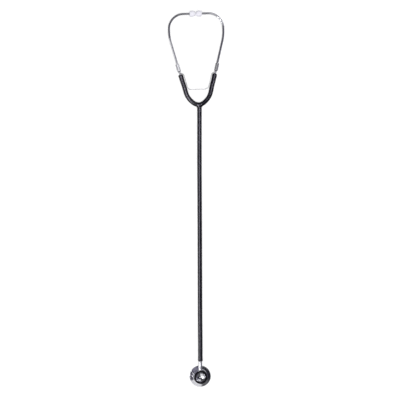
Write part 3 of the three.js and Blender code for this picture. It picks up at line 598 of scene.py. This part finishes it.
def cup_profile():
    seat_bore = SPIGOT_RADIUS - SEAT_WIDTH
    return [
        (THROAT_RADIUS, CUP_FLOOR, 0.2), (CUP_FLAT_RADIUS, CUP_FLOOR, 0.6),
        (seat_bore - CUP_EDGE_WIDTH, CUP_EDGE_HEIGHT, 1.5), (seat_bore - FIT, CUP_LIP_HEIGHT, 0.3),
        (seat_bore, SEAT_HEIGHT, 0.15), (SPIGOT_RADIUS, SEAT_HEIGHT, 0.12),
        (SPIGOT_RADIUS, SHOULDER, 0.1),
    ]


def back_profile():
    """The flange's band, a scored line, a low ridge, and the slope up to the neck."""
    return [
        (HEAD_RADIUS, SHOULDER, 0.35), (HEAD_RADIUS, FLANGE_TOP - 0.05, 0.8),
        (18.6, back_at(18.6), 0.08), (18.45, back_at(18.6) - SCORE_DEPTH, 0.04),
        (18.3, back_at(18.3), 0.08), (15.2, back_at(15.2), 0.3),
        (14.6, back_at(14.6) + RIDGE_HEIGHT, 0.2), (14.2, back_at(14.2) + RIDGE_HEIGHT, 0.2),
        (13.5, back_at(13.5), 0.3), (BACK_TOP_RADIUS, BACK_TOP, 0.8),
        (NECK_RADIUS + 0.8, BACK_TOP + 0.4, 0.9), (NECK_RADIUS, BACK_TOP + 2, 0.6),
    ]


def bell_profile():
    """A quarter ellipse outside, the beaded rim, and a deeper bowl inside."""
    outside, inside = [], []
    for k in range(15):
        a = QUARTER * k / 14
        radius = NECK_RADIUS + (BELL_RIM_RADIUS - NECK_RADIUS) * math.sin(a)
        outside.append((radius, BEAD_BOTTOM - (BEAD_BOTTOM - FLARE_START) * math.cos(a), 0))
    for k in range(20):
        a = QUARTER * k / 20
        radius = BELL_MOUTH_RADIUS * math.cos(a)
        if radius > THROAT_RADIUS + 0.4:
            inside.append((radius, BELL_RIM - (BELL_RIM - BELL_FLOOR) * math.sin(a), 0))
    rim = [
        (BEAD_RADIUS, BEAD_BOTTOM + 0.5, 0.3), (BEAD_RADIUS, BELL_RIM - 0.5, 0.3),
        (BELL_RIM_RADIUS, BELL_RIM, 0.2),
    ]
    return [*outside, *rim, *inside, (THROAT_RADIUS, BELL_FLOOR, 0.25)]


def make_chestpiece_body():
    profile = filleted([*cup_profile(), *back_profile(), *bell_profile()])
    body = turned("chestpiece_shell", profile, sides=160)
    hub = cylinder(HUB_RADIUS, -HUB_BACK, HUB_FRONT, 96, "y", CHEST, fillet=0.5)
    cut(body, hub, "UNION")
    cut(body, cylinder(SPINDLE_RADIUS + FIT, -HUB_BACK - 1.6, HUB_FRONT + 2, 64, "y", CHEST))
    over_detent = Matrix.Translation((0, DETENT_PLACE, 0))
    cut(body, cylinder(DETENT_POCKET_RADIUS, 3, STEM_AXIS, 40, "z", over_detent))
    return finish_piece(even(shaded(body, 30)), "chestpiece", "chestpiece_body", chrome_turned)


def make_retaining_ring():
    bore = SPIGOT_RADIUS + FIT
    profile = filleted([
        (LIP_BORE, LIP_BOTTOM, 0.2), (HEAD_RADIUS, LIP_BOTTOM, 0.45), (HEAD_RADIUS, RING_TOP, 0.4),
        (bore, RING_TOP, 0.1), (bore, LIP_TOP, 0.05), (LIP_BORE, LIP_TOP, 0.1),
    ])
    ring = even(turned("retaining_ring", profile, 160))
    return finish_piece(ring, "chestpiece", "diaphragm_retaining_ring", chrome_turned)


def make_diaphragm():
    face, step = DIAPHRAGM_FACE_RADIUS, DIAPHRAGM_STEP
    low = LIP_TOP + FIT
    high = low + DIAPHRAGM_THICKNESS
    profile = filleted([
        (0, 0, 0), (face, 0, 0.5), (face + step, low, 0.15), (SPIGOT_RADIUS, low, 0),
        (SPIGOT_RADIUS, high, 0), (face + step - 0.2, high, 0.1),
        (face - 0.2, DIAPHRAGM_THICKNESS, 0.3), (0, DIAPHRAGM_THICKNESS, 0),
    ])
    disc = even(turned("diaphragm_disc", profile, 160))
    return finish_piece(disc, "chestpiece", "diaphragm", membrane)


def make_bell_ring():
    outer, inner = BELL_RING_RADIUS, BELL_RING_BORE
    top, bottom = BELL_RING_TOP, BELL_RING_BOTTOM
    neck, bead, rim = BELL_RIM_RADIUS + FIT, BEAD_RADIUS + FIT, BELL_RIM + FIT
    profile = filleted([
        (neck, bottom, 0.1), (outer - 0.3, bottom, 0.3), (outer, bottom + 0.7, 0.4),
        (outer, top - 0.8, 0.5), (outer - 0.6, top, 0.45), (inner + 0.7, top, 0.45),
        (inner, top - 0.7, 0.4), (inner, rim, 0.1), (neck, rim, 0.1), (bead, rim - 0.5, 0.1),
        (bead, bottom + 0.4, 0.1),
    ])
    ring = even(turned("bell_rim_ring", profile, 160))
    return finish_piece(ring, "chestpiece", "bell_ring", black_plastic)


# Stem and its washer, turned about the stem's axis

def barb_profile():
    points = []
    for k in range(3):
        start = STEM_END + k * BARB_PITCH
        points += [
            (BARB_RADIUS, start, 0), (BARB_RADIUS, start + 2.9, 0), (BARB_CREST, start + 3, 0.02),
            (BARB_RADIUS, start + 5.8, 0),
        ]
    return points


def make_stem():
    retainer_front = -HUB_BACK - FIT
    retainer_back = retainer_front - RETAINER_THICKNESS
    slot_width = RETAINER_THICKNESS + 2 * FIT
    slot_place = (retainer_front + retainer_back) / 2
    tail = retainer_back - SPINDLE_TAIL
    flange = HUB_FRONT + WASHER_THICKNESS + 2 * FIT
    flange_end = flange + STEM_FLANGE_THICKNESS
    shaft_end = STEM_END - FIT
    profile = filleted([
        (0, tail, 0), (SPINDLE_RADIUS, tail, 0.35),
        *groove(SPINDLE_RADIUS, RETAINER_ROOT, slot_place, slot_width, slot_width),
        *groove(SPINDLE_RADIUS, DETENT_ROOT, DETENT_PLACE, 1.6, 0.8, 0.1, 0.1),
        *groove(SPINDLE_RADIUS, O_RING_ROOT, O_RING_PLACE, 1.2, 1.2),
        (SPINDLE_RADIUS, flange, 0.1), (STEM_FLANGE_RADIUS, flange, 0.25),
        (STEM_FLANGE_RADIUS, flange_end, 0.3), (STEM_RADIUS, flange_end + 0.05, 0.25),
        *groove(STEM_RADIUS, STEM_RADIUS - 0.15, TURNED_LINE_PLACE, 0.8, 0.4, 0.1),
        (STEM_RADIUS, shaft_end, 0.35), (BARB_RADIUS, shaft_end, 0.1), *barb_profile(),
        (1.5, STEM_END + BARBS_LENGTH, 0.1), (0, STEM_END + BARBS_LENGTH, 0),
    ])
    stem = turned("stem_shaft", profile, 96, "y", CHEST)
    cut(stem, cylinder(PORT_RADIUS, 0, 4, 40, "z", CHEST))
    return finish_piece(even(stem), "root", "chestpiece_stem", chrome_drawn)


def make_washer():
    bore, outer = SPINDLE_RADIUS + FIT, STEM_FLANGE_RADIUS
    start = HUB_FRONT + FIT
    end = start + WASHER_THICKNESS
    profile = filleted([(bore, start, 0.08), (outer, start, 0.12), (outer, end, 0.12), (bore, end, 0.08)])
    washer = turned("thrust_washer", profile, 96, "y", CHEST)
    return finish_piece(washer, "root", "stem_thrust_washer", nylon)


# Ear tubes

def ear_height(y):
    """The tube lies level, then rises to the tips; the change of slope is eased."""
    share = (y - EAR_LEVEL_END) / (HEADSET_LENGTH - EAR_LEVEL_END)
    soft = EAR_EASE_SHARE
    curve = (share + soft) ** 2 / (4 * soft)
    eased = np.where(share < -soft, 0, np.where(share > soft, share, curve))
    return ARM_HEIGHT + EAR_RISE * np.clip(eased, 0, 1)


def arc(centre, radius, start, end, steps):
    """Points on part of a circle."""
    return [
        (centre[0] + radius * math.cos(a), centre[1] + radius * math.sin(a))
        for a in (start + (end - start) * k / steps for k in range(steps + 1))
    ]


def ear_tube_plan():
    """Straight from its socket, a long bow, and a bend that ends inside the tip."""
    bow = arc((0, HEADSET_LENGTH * EAR_BOW_END_SHARE), EAR_BOW_RADIUS, -LEAN, 0, 16)
    start_x = ARM_END[0] + (bow[0][1] - ARM_END[1]) * math.tan(LEAN)
    bow = [(x + start_x - bow[0][0], y) for x, y in bow]
    radius = HEADSET_LENGTH * EAR_BEND_SHARE
    bend = arc((bow[-1][0] - radius, HEADSET_LENGTH - radius), radius, 0, QUARTER, 28)
    socket = tuple(beside_ear_tube(-SOCKET_DEPTH, 0))
    return [socket, *bow, *bend, (TIP_GAP / 2 + TUBE_BEHIND_TIP_FRONT, HEADSET_LENGTH)]


def make_ear_tube(name, side):
    plan = level(ear_tube_plan())
    line = at_lengths(plan, np.linspace(0, lengths_along(plan)[-1], 240))
    line[:, 2] = ear_height(line[:, 1])
    line[:, 0] *= side
    obj, _ = tube(f"{name}_ear_tube_drawn", on_headset(line), EAR_TUBE_RADIUS, step=1.2, rounding=0.3)
    return finish_piece(obj, f"{name}_binaural", f"{name}_ear_tube", chrome_drawn)


def tip_place(side):
    """Heights of the turned tip pieces run outward from the tip's front."""
    flip = Matrix.Diagonal((side, 1, 1, 1))
    return HEADSET @ flip @ Matrix.Translation((TIP_GAP / 2, HEADSET_LENGTH, ARM_HEIGHT + EAR_RISE))


def make_ear_tip(name, side):
    """A blunt dome over a skirt that narrows, hollow underneath round its sleeve."""
    bore = EAR_TUBE_RADIUS + 2 * FIT + INSERT_WALL
    sleeve = bore + TIP_SLEEVE_WALL
    sleeve_end = TIP_LENGTH - TIP_SLEEVE_SHORT
    front = [(TIP_HOLE, 0, 0.15), (TIP_NOSE, 0, 0)]
    for k in range(1, 15):
        a = QUARTER * k / 14
        front.append((TIP_NOSE + (TIP_RADIUS - TIP_NOSE) * math.sin(a), TIP_DOME * (1 - math.cos(a)), 0))
    skirt = [(6.27, 7.3, 0), (6.18, 8.3, 0), (6.03, 9.4, 0), (5.84, 10.6, 0), (5.6, TIP_LENGTH, 0.5)]
    inside = [
        (TIP_SKIRT_BORE, TIP_LENGTH, 0.3), (TIP_SKIRT_BORE, TIP_RECESS, 0.4),
        (sleeve, TIP_RECESS, 0.3), (sleeve, sleeve_end, 0.2), (bore, sleeve_end, 0.15),
        (bore, TIP_FRONT_WALL, 0.2), (TIP_HOLE, TIP_FRONT_WALL, 0.15),
    ]
    tip = turned(f"{name}_soft_tip", filleted([*front, *skirt, *inside]), 96, "x", tip_place(side))
    return finish_piece(tip, f"{name}_binaural", f"{name}_ear_tip", soft_tip)


def make_insert(name, side):
    bore = EAR_TUBE_RADIUS + FIT
    outer = bore + INSERT_WALL
    front = TIP_FRONT_WALL + FIT
    floor = front + INSERT_FRONT_WALL
    profile = filleted([
        (1, front, 0.1), (outer, front, 0.2), (outer, TIP_LENGTH, 0.15), (bore, TIP_LENGTH, 0.1),
        (bore, floor, 0.1), (1, floor, 0.1),
    ])
    insert = turned(f"{name}_threaded_insert", profile, 64, "x", tip_place(side))
    return finish_piece(insert, f"{name}_binaural", f"{name}_tip_insert", nylon)


# Leaf spring and its clips

def rounded_corner(before, at, after):
    """A bend of the strip between two straight stretches."""
    before, at, after = (np.array(p, float) for p in (before, at, after))
    into = (at - before) / np.linalg.norm(at - before)
    out = (after - at) / np.linalg.norm(after - at)
    setback = SPRING_BEND_RADIUS * math.tan(math.acos(float(into @ out)) / 2)
    start, finish = at - into * setback, at + out * setback
    return [
        tuple((1 - t) ** 2 * start + 2 * t * (1 - t) * at + t**2 * finish)
        for t in (k / 6 for k in range(7))
    ]


def spring_plan():
    """Half of the strip: level at the bottom, up inside the arm, then across to its tab."""
    side = -(TUBING_RADIUS + SPRING_SIDE_GAP)
    tab = EAR_TUBE_RADIUS + SPRING_TAB_OFFSET + SPRING_HALF_THICK
    corner_y = SPRING_BOTTOM + SPRING_CORNER_RADIUS
    from_axis = (side - SPRING_CORNER_RADIUS) + (corner_y - ARM_END[1]) * math.sin(LEAN)
    corner_x = ARM_END[0] + from_axis / math.cos(LEAN)
    corner = arc((corner_x, corner_y), SPRING_CORNER_RADIUS, -QUARTER, -LEAN, 14)
    cross_start = beside_ear_tube(SPRING_CROSS_START, side)
    cross_end = beside_ear_tube(SPRING_CROSS_END, tab)
    end = beside_ear_tube(SPRING_TAB_END, tab)
    return [
        (0, SPRING_BOTTOM), *corner,
        *rounded_corner(corner[-1], cross_start, cross_end),
        *rounded_corner(cross_start, cross_end, end),
        tuple(end),
    ]


def spring_half_width(to_end):
    """The strip narrows where its tab begins, and the tab's end is rounded."""
    narrow = min(1, max(0, (SPRING_TAB_LENGTH - to_end) / 1.5))
    half_width = SPRING_HALF_WIDTH - SPRING_TAB_NARROWING * narrow * narrow * (3 - 2 * narrow)
    if to_end < 2:
        half_width -= 0.9 * (1 - to_end / 2) ** 2
    return half_width


def spring_section(half_width):
    """Twelve points round the strip with its four edges eased, across and up."""
    edge = 0.13
    trio = [
        (SPRING_HALF_THICK, half_width - edge),
        (SPRING_HALF_THICK - 0.3 * edge, half_width - 0.3 * edge),
        (SPRING_HALF_THICK - edge, half_width),
    ]
    out = []
    for x, z in ((1, 1), (-1, 1), (-1, -1), (1, -1)):
        out += [(x * a, z * b) for a, b in (trio if x * z > 0 else reversed(trio))]
    return out


def make_spring_half(name, side):
    line = level(spring_plan())
    total = lengths_along(line)[-1]
    places = np.linspace(0, total, 150)
    centres = at_lengths(line, places)
    tangents = np.gradient(centres, axis=0)
    tangents /= np.linalg.norm(tangents, axis=1)[:, None]
    across = np.cross(tangents, (0, 0, 1))
    points, rings = [], []
    for place, centre, way in zip(places, centres, across):
        section = spring_section(spring_half_width(total - place))
        rings.append(range(len(points), len(points) + len(section)))
        points += [centre + x * way + np.array((0, 0, z)) for x, z in section]
    faces = bridged(rings, False) + [list(rings[0]), list(rings[-1])]
    points = np.array(points)
    points[:, 0] *= side
    spring = mesh_object(f"leaf_spring_{name}", points, faces, HEADSET)
    ends = [(*beside_ear_tube(s, 0), ARM_HEIGHT) for s in (-8, 30)]
    ends = on_headset([(side * x, y, z) for x, y, z in ends])
    room, _ = tube("room", ends, EAR_TUBE_RADIUS + 0.27, sides=64, step=60, rounding=0.01)
    cut(spring, room)
    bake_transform(spring)
    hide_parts("leaf_spring")
    dress(spring, spring_steel)
    return spring


def rounded_rectangle(from_x, to_x, half, corner, count=8):
    """Points round a rectangle with rounded corners, across the ear tube and up."""
    out = []
    for k, (x, y) in enumerate([
        (to_x - corner, half - corner), (from_x + corner, half - corner),
        (from_x + corner, corner - half), (to_x - corner, corner - half),
    ]):
        out += arc((x, y), corner, k * QUARTER, (k + 1) * QUARTER, count)
    return out


def make_spring_clip(name, side):
    """A flat-sided sleeve round the ear tube and the spring's tab, with eased edges."""
    wall, length = CLIP_WALL, CLIP_LENGTH
    inner = -EAR_TUBE_RADIUS - FIT
    outer = EAR_TUBE_RADIUS + SPRING_TAB_OFFSET + 2 * SPRING_HALF_THICK + FIT
    edge = 0.22
    bevel = 0.3 * edge
    outside = [(0, s) for s in (edge, 1.2, 2.2, length / 2, length - 2.2, length - 1.2, length - edge)]
    lap = [
        *outside, (bevel, length - bevel), (edge, length), (wall - edge, length),
        (wall - bevel, length - bevel), (wall, length - edge), (wall, length / 2), (wall, edge),
        (wall - bevel, bevel), (wall - edge, 0), (edge, 0), (bevel, bevel),
    ]
    points, rings = [], []
    for inset, along in lap:
        grown = wall - inset
        loop = rounded_rectangle(
            inner - grown, outer + grown, CLIP_HALF_DEPTH + grown, CLIP_CORNER + grown
        )
        rings.append(range(len(points), len(points) + len(loop)))
        points += [(*beside_ear_tube(CLIP_START + along, x), ARM_HEIGHT + z) for x, z in loop]
    points = np.array(points)
    points[:, 0] *= side
    clip = even(mesh_object(f"{name}_clip_sleeve", points, bridged(rings, True), HEADSET))
    return finish_piece(clip, f"{name}_arm", f"{name}_spring_clip", chrome_drawn)


# Materials

class Shader:
    """A material round one Principled shader. Constants go on its sockets."""

    def __init__(self, name, **sockets):
        self.material = bpy.data.materials.new(name)
        self.material.use_nodes = True
        self.tree = self.material.node_tree
        self.surface = self.tree.nodes["Principled BSDF"]
        for socket, value in sockets.items():
            self.surface.inputs[socket.replace("_", " ")].default_value = value
        self.place = self.node("ShaderNodeTexCoord").outputs["Object"]

    def node(self, kind, inputs=None, **settings):
        made = self.tree.nodes.new(kind)
        for key, value in settings.items():
            setattr(made, key, value)
        for key, value in (inputs or {}).items():
            if isinstance(value, bpy.types.NodeSocket):
                self.tree.links.new(value, made.inputs[key])
            else:
                made.inputs[key].default_value = value
        return made

    def stretched(self, scale):
        return self.node("ShaderNodeMapping", {"Vector": self.place, "Scale": scale}).outputs[0]

    def noise(self, scale, detail=3, rough=0.5, place=None):
        made = self.node("ShaderNodeTexNoise", {
            "Vector": place or self.place, "Scale": scale, "Detail": detail, "Roughness": rough,
        })
        return made.outputs["Fac"]

    def spread(self, value, low, high, to_low=0.0, to_high=1.0):
        made = self.node("ShaderNodeMapRange", {
            "Value": value, "From Min": low, "From Max": high, "To Min": to_low, "To Max": to_high,
        })
        return made.outputs[0]

    def maths(self, kind, a, b):
        return self.node("ShaderNodeMath", {0: a, 1: b}, operation=kind).outputs[0]

    def mixed(self, share, a, b):
        made = self.node("ShaderNodeMix", {0: share, 6: a, 7: b}, data_type="RGBA")
        return made.outputs[2]

    def edges(self, low=0.51, high=0.56):
        return self.spread(self.node("ShaderNodeNewGeometry").outputs["Pointiness"], low, high)

    def colour(self, value):
        self.tree.links.new(value, self.surface.inputs["Base Color"])

    def roughness(self, value):
        self.tree.links.new(value, self.surface.inputs["Roughness"])

    def bump(self, height, distance, strength=1.0):
        made = self.node("ShaderNodeBump", {"Height": height, "Distance": distance, "Strength": strength})
        self.tree.links.new(made.outputs[0], self.surface.inputs["Normal"])


def make_tubing_material():
    s = Shader("tubing_rubber", Specular_IOR_Level=0.28, IOR=1.5)
    broad = s.noise(26, 2)
    specks = s.spread(s.noise(2300, 1), 0.8, 0.86)
    base = s.mixed(s.spread(broad, 0.3, 0.7), (0.002, 0.002, 0.0034, 1), (0.0045, 0.0043, 0.0068, 1))
    s.colour(s.mixed(s.maths("MULTIPLY", specks, 0.5), base, (0.03, 0.028, 0.035, 1)))
    s.roughness(s.spread(s.noise(140, 4), 0.25, 0.75, 0.19, 0.26))
    flow = s.noise(1, 2, place=s.stretched((700, 25, 700)))
    grain = s.noise(1700, 3)
    height = s.maths("ADD", s.maths("MULTIPLY", flow, 0.6), s.maths("MULTIPLY", grain, 0.4))
    s.bump(height, 0.00004, 0.4)
    return s.material


def make_chrome(name, rings=False):
    """Plated metal with faint marks, and with fine turned rings where a piece is round about Z."""
    s = Shader(name, Metallic=1.0)
    smudge = s.noise(55, 4, 0.6)
    scratch = s.spread(s.noise(1, 2, place=s.stretched((160, 5200, 160))), 0.66, 0.74)
    cross = s.spread(s.noise(1, 2, place=s.stretched((4300, 210, 4300))), 0.68, 0.76)
    marks = s.maths("MAXIMUM", scratch, cross)
    s.colour(s.mixed(s.spread(smudge, 0.3, 0.75), (0.57, 0.57, 0.6, 1), (0.52, 0.52, 0.555, 1)))
    rough = s.spread(smudge, 0.3, 0.8, 0.05, 0.14)
    rough = s.maths("ADD", rough, s.maths("MULTIPLY", marks, 0.08))
    s.roughness(s.maths("ADD", rough, s.maths("MULTIPLY", s.edges(), 0.1)))
    height = s.maths("MULTIPLY", marks, -0.5)
    if rings:
        split = s.node("ShaderNodeSeparateXYZ", {0: s.place}).outputs
        flat = s.node("ShaderNodeCombineXYZ", {0: split[0], 1: split[1], 2: 0.0}).outputs[0]
        radius = s.node("ShaderNodeVectorMath", {0: flat}, operation="LENGTH").outputs["Value"]
        lines = s.node("ShaderNodeTexNoise", {
            "W": s.maths("MULTIPLY", radius, 5200), "Scale": 1.0, "Detail": 2.0,
        }, noise_dimensions="1D")
        height = s.maths("ADD", height, s.maths("MULTIPLY", lines.outputs["Fac"], 0.6))
    s.bump(height, 0.000004)
    return s.material


def make_spring_steel():
    s = Shader("spring_steel_strip", Metallic=1.0)
    brushed = s.noise(1, 3, place=s.stretched((60, 60, 6000)))
    tint = s.noise(40, 3)
    s.colour(s.mixed(tint, (0.85, 0.85, 0.87, 1), (0.76, 0.76, 0.79, 1)))
    s.roughness(s.spread(brushed, 0.2, 0.8, 0.34, 0.5))
    s.bump(brushed, 0.000006)
    return s.material


def make_black_plastic():
    s = Shader("bell_ring_vinyl", IOR=1.5, Specular_IOR_Level=0.06)
    wear = s.maths("MULTIPLY", s.edges(0.52, 0.6), s.spread(s.noise(500, 3), 0.4, 0.7))
    base = s.mixed(s.noise(120, 3), (0.002, 0.002, 0.003, 1), (0.005, 0.005, 0.006, 1))
    s.colour(s.mixed(s.maths("MULTIPLY", wear, 0.2), base, (0.02, 0.02, 0.024, 1)))
    s.roughness(s.spread(s.noise(260, 4), 0.3, 0.7, 0.16, 0.28))
    s.bump(s.noise(2400, 2), 0.000012)
    return s.material


def make_soft_tip():
    s = Shader("ear_tip_silicone", IOR=1.41, Specular_IOR_Level=0.4)
    s.colour(s.mixed(s.noise(160, 3), (0.84, 0.83, 0.9, 1), (0.74, 0.73, 0.81, 1)))
    s.roughness(s.spread(s.noise(300, 3), 0.3, 0.7, 0.22, 0.38))
    s.bump(s.noise(1800, 2), 0.00001)
    return s.material


def make_nylon():
    s = Shader("nylon", IOR=1.53, Subsurface_Weight=0.15, Subsurface_Scale=0.001)
    s.colour(s.mixed(s.noise(300, 3), (0.8, 0.79, 0.76, 1), (0.7, 0.69, 0.66, 1)))
    s.roughness(s.spread(s.noise(600, 2), 0.3, 0.7, 0.35, 0.5))
    s.bump(s.noise(3000, 2), 0.000008)
    return s.material


def make_membrane():
    s = Shader("diaphragm_laminate", IOR=1.54, Coat_Weight=0.4, Coat_Roughness=0.15)
    weave_x, weave_y = (
        s.node("ShaderNodeTexWave", {
            "Vector": s.place, "Scale": 260.0, "Distortion": 0.6,
        }, bands_direction=way).outputs["Fac"]
        for way in "XY"
    )
    cloth = s.maths("MULTIPLY", weave_x, weave_y)
    s.colour(s.mixed(cloth, (0.58, 0.57, 0.5, 1), (0.7, 0.69, 0.62, 1)))
    s.roughness(s.spread(s.noise(220, 3), 0.3, 0.7, 0.3, 0.5))
    s.bump(cloth, 0.00001)
    return s.material


tubing_rubber = make_tubing_material()
chrome_turned = make_chrome("chrome_turned", rings=True)
chrome_drawn = make_chrome("chrome_drawn")
spring_steel = make_spring_steel()
black_plastic = make_black_plastic()
soft_tip = make_soft_tip()
nylon = make_nylon()
membrane = make_membrane()

for tubing_piece in tubing_pieces:
    dress(tubing_piece, tubing_rubber)

make_chestpiece_body()
make_retaining_ring()
make_diaphragm()
make_bell_ring()
make_stem()
make_washer()
for ear, ear_side in SIDES:
    make_ear_tube(ear, ear_side)
    make_ear_tip(ear, ear_side)
    make_insert(ear, ear_side)
    make_spring_half(ear, ear_side)
    make_spring_clip(ear, ear_side)

# Small inner pieces keep the frame's shapes and get a finish
for node, finish in {
    "stem_o_ring": black_plastic,
    "stem_retaining_clip": spring_steel,
    "detent_ball": chrome_drawn,
    "detent_spring": spring_steel,
    "detent_screw": spring_steel,
    "left_tip_ferrule": chrome_drawn,
    "right_tip_ferrule": chrome_drawn,
}.items():
    dress(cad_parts[node], finish)


# Table, backdrop light, lamps and the cards that the metal mirrors

def plane(name, width, depth, place):
    """One flat face for the room round the object, not part of the object."""
    mesh = bpy.data.meshes.new(name)
    w, d = width / 2, depth / 2
    mesh.from_pydata([(-w, -d, 0), (w, -d, 0), (w, d, 0), (-w, d, 0)], [], [(0, 1, 2, 3)])
    obj = bpy.data.objects.new(name, mesh)
    bpy.context.scene.collection.objects.link(obj)
    obj.matrix_world = place
    return obj


def seen_white(tree, strength, mirrored):
    """A value: strength for the eye and through glass, mirrored in metal, else 0."""
    path = tree.nodes.new("ShaderNodeLightPath")

    def joined(kind, a, b):
        made = tree.nodes.new("ShaderNodeMath")
        made.operation = kind
        for socket, value in zip(made.inputs, (a, b)):
            if isinstance(value, bpy.types.NodeSocket):
                tree.links.new(value, socket)
            else:
                socket.default_value = value
        return made.outputs[0]

    seen = joined("MAXIMUM", path.outputs["Is Camera Ray"], path.outputs["Is Transmission Ray"])
    return joined(
        "MAXIMUM", joined("MULTIPLY", seen, strength),
        joined("MULTIPLY", path.outputs["Is Glossy Ray"], mirrored),
    )


def make_floor():
    floor = plane("floor", FLOOR_SIZE, FLOOR_SIZE, Matrix.Translation(FLOOR_PLACE))
    material = bpy.data.materials.new("pale_table")
    material.use_nodes = True
    tree = material.node_tree
    surface = tree.nodes["Principled BSDF"]
    surface.inputs["Base Color"].default_value = (0.6, 0.6, 0.605, 1)
    surface.inputs["Roughness"].default_value = 0.7
    surface.inputs["Specular IOR Level"].default_value = 0.1
    surface.inputs["Emission Color"].default_value = (1, 1, 1, 1)
    glow = seen_white(tree, strength=0.5, mirrored=0.08)
    tree.links.new(glow, surface.inputs["Emission Strength"])
    floor.data.materials.append(material)


def make_world():
    world = bpy.data.worlds.new("room")
    bpy.context.scene.world = world
    world.use_nodes = True
    tree = world.node_tree
    back = tree.nodes["Background"]
    back.inputs["Color"].default_value = (1, 1, 1, 1)
    seen = seen_white(tree, strength=0.55, mirrored=0.05)
    total = tree.nodes.new("ShaderNodeMath")
    total.operation = "ADD"
    total.inputs[1].default_value = 0.45
    tree.links.new(seen, total.inputs[0])
    tree.links.new(total.outputs[0], back.inputs["Strength"])


def lamp(name, place, target, size, watts):
    """A rectangular lamp, aimed from its place at a target."""
    data = bpy.data.lights.new(name, "AREA")
    data.shape = "RECTANGLE"
    data.size, data.size_y = size
    data.energy = watts
    obj = bpy.data.objects.new(name, data)
    bpy.context.scene.collection.objects.link(obj)
    obj.location = place
    obj.rotation_mode = "QUATERNION"
    obj.rotation_quaternion = (Vector(target) - Vector(place)).to_track_quat("-Z", "Y")
    return obj


def strip(name, near, far, width, watts):
    """A long narrow lamp over the table, from one point to another, that lights the tubing alone."""
    middle, along = (Vector(near) + Vector(far)) / 2, Vector(far) - Vector(near)
    obj = lamp(name, (*middle, LAMP_HEIGHT), (*middle, 0), (width, along.length), watts)
    obj.rotation_quaternion = Quaternion((0, 0, 1), -math.atan2(along.x, along.y))
    lit = bpy.data.collections.new(name)
    for piece in tubing_pieces:
        lit.objects.link(piece)
    obj.light_linking.receiver_collection = lit
    obj.data.color = (0.98, 0.93, 1.12)


def card(name, x, y, strength, colour=(1, 1, 1), upright=False):
    """A flat card that only mirrored light meets, as a photographer's flag or reflector does.

    It lies level over x and y, or stands upright at one x from the table up.
    """
    height = CARD_HEIGHT
    middle = Vector(((x[0] + x[1]) / 2, (y[0] + y[1]) / 2, height / 2 if upright else height))
    turn = Matrix.Rotation(QUARTER, 4, "Y") if upright else Matrix.Identity(4)
    width = height if upright else x[1] - x[0]
    obj = plane(name, width, y[1] - y[0], Matrix.Translation(middle) @ turn)
    material = bpy.data.materials.new(name)
    material.use_nodes = True
    surface = material.node_tree.nodes["Principled BSDF"]
    surface.inputs["Base Color"].default_value = (0, 0, 0, 1)
    surface.inputs["Specular IOR Level"].default_value = 0
    surface.inputs["Emission Color"].default_value = (*colour, 1)
    surface.inputs["Emission Strength"].default_value = strength
    obj.data.materials.append(material)
    obj.visible_camera = False
    obj.visible_diffuse = False
    obj.visible_shadow = False
    obj.visible_transmission = False
    return obj


make_floor()
make_world()
strip("strip_trunk", (-0.89, -0.2), (-0.22, 0.68), 0.26, 17)
strip("strip_left_arm", (-0.42, 0.5), (-0.42, 0.66), 0.14, 3)
strip("strip_right_arm", (0.6, 0.6), (0.32, 0.76), 0.12, 4.5)
lamp("key", (-0.61, -0.07, LAMP_HEIGHT), (-0.61, -0.07, 0), (0.15, 0.66), 6)
lamp("fill", (0.3, 0.4, 2.6), (0, 0.37, 0), (1.5, 1.5), 40).visible_glossy = False

# Each card is named for its part in what the metal shows; the flags are a little violet
card("flag_right", (0.21, 1.8), (-0.33, 0.2), 0.04, LAVENDER)
card("shade_lower_right", (0.14, 1.8), (-2.4, -0.33), 0.19)
card("flag_middle_right", (0.21, 1.8), (0.2, 0.84), 0.2, LAVENDER)
card("reflector_right", (0.14, 1.8), (0.84, 1.6), 1.4)
card("shade_far_right", (0.14, 1.8), (1.6, 2.6), 0.8)
card("flag_over_left", (-0.53, -0.2), (-0.33, 0.2), 0.16, LAVENDER)
card("flag_over", (-0.2, 0), (-0.33, 0.2), 0.45, LAVENDER)
card("flag_over_right", (0, 0.21), (-0.33, 0.2), 0.05, LAVENDER)
card("reflector_near", (-0.53, 0.14), (-0.8, -0.33), 1.25)
card("reflector_far_near", (-1.1, 0.14), (-2.4, -0.8), 1.2)
card("reflector_left", (-1.1, -0.53), (-0.8, 0.38), 1.3)
card("reflector_far_left", (-1.8, -1.1), (-0.55, 0.38), 2.2)
card("reflector_left_wall", (-1.8, -1.8), (-2.4, 0.3), 1.2, upright=True)
card("shade_left_wall", (-1.8, -1.8), (0.3, 2.6), 0.3, upright=True)
card("flag_right_wall", (1.8, 1.8), (-2.4, 2.6), 0.3, LAVENDER, upright=True)
far_wall = card("flag_far_wall", (2.6, 2.6), (-1.8, 1.8), 0.25, LAVENDER, upright=True)
far_wall.matrix_world = Matrix.Rotation(QUARTER, 4, "Z") @ far_wall.matrix_world
card("flag_far", (-0.07, 0.09), (0.2, 0.68), 0.03, LAVENDER)
card("reflector_left_clip", (-0.07, 0.04), (0.68, 0.9), 1.6)
card("reflector_far_clip", (0.04, 0.09), (0.68, 0.9), 0.73)
card("shade_far", (-0.07, 0.06), (0.9, 2.6), 0.3)
card("reflector_far", (0.06, 0.14), (0.9, 2.6), 0.85)
card("reflector_over", (0.09, 0.21), (0.2, 0.78), 0.5)
card("flag_left", (-0.53, -0.07), (0.2, 0.9), 0.05, LAVENDER)
card("shade_left", (-1.8, -0.53), (0.38, 0.9), 0.2)
card("shade_far_left", (-1.8, -0.07), (0.9, 2.6), 0.15)

bpy.context.scene.view_settings.view_transform = "Standard"
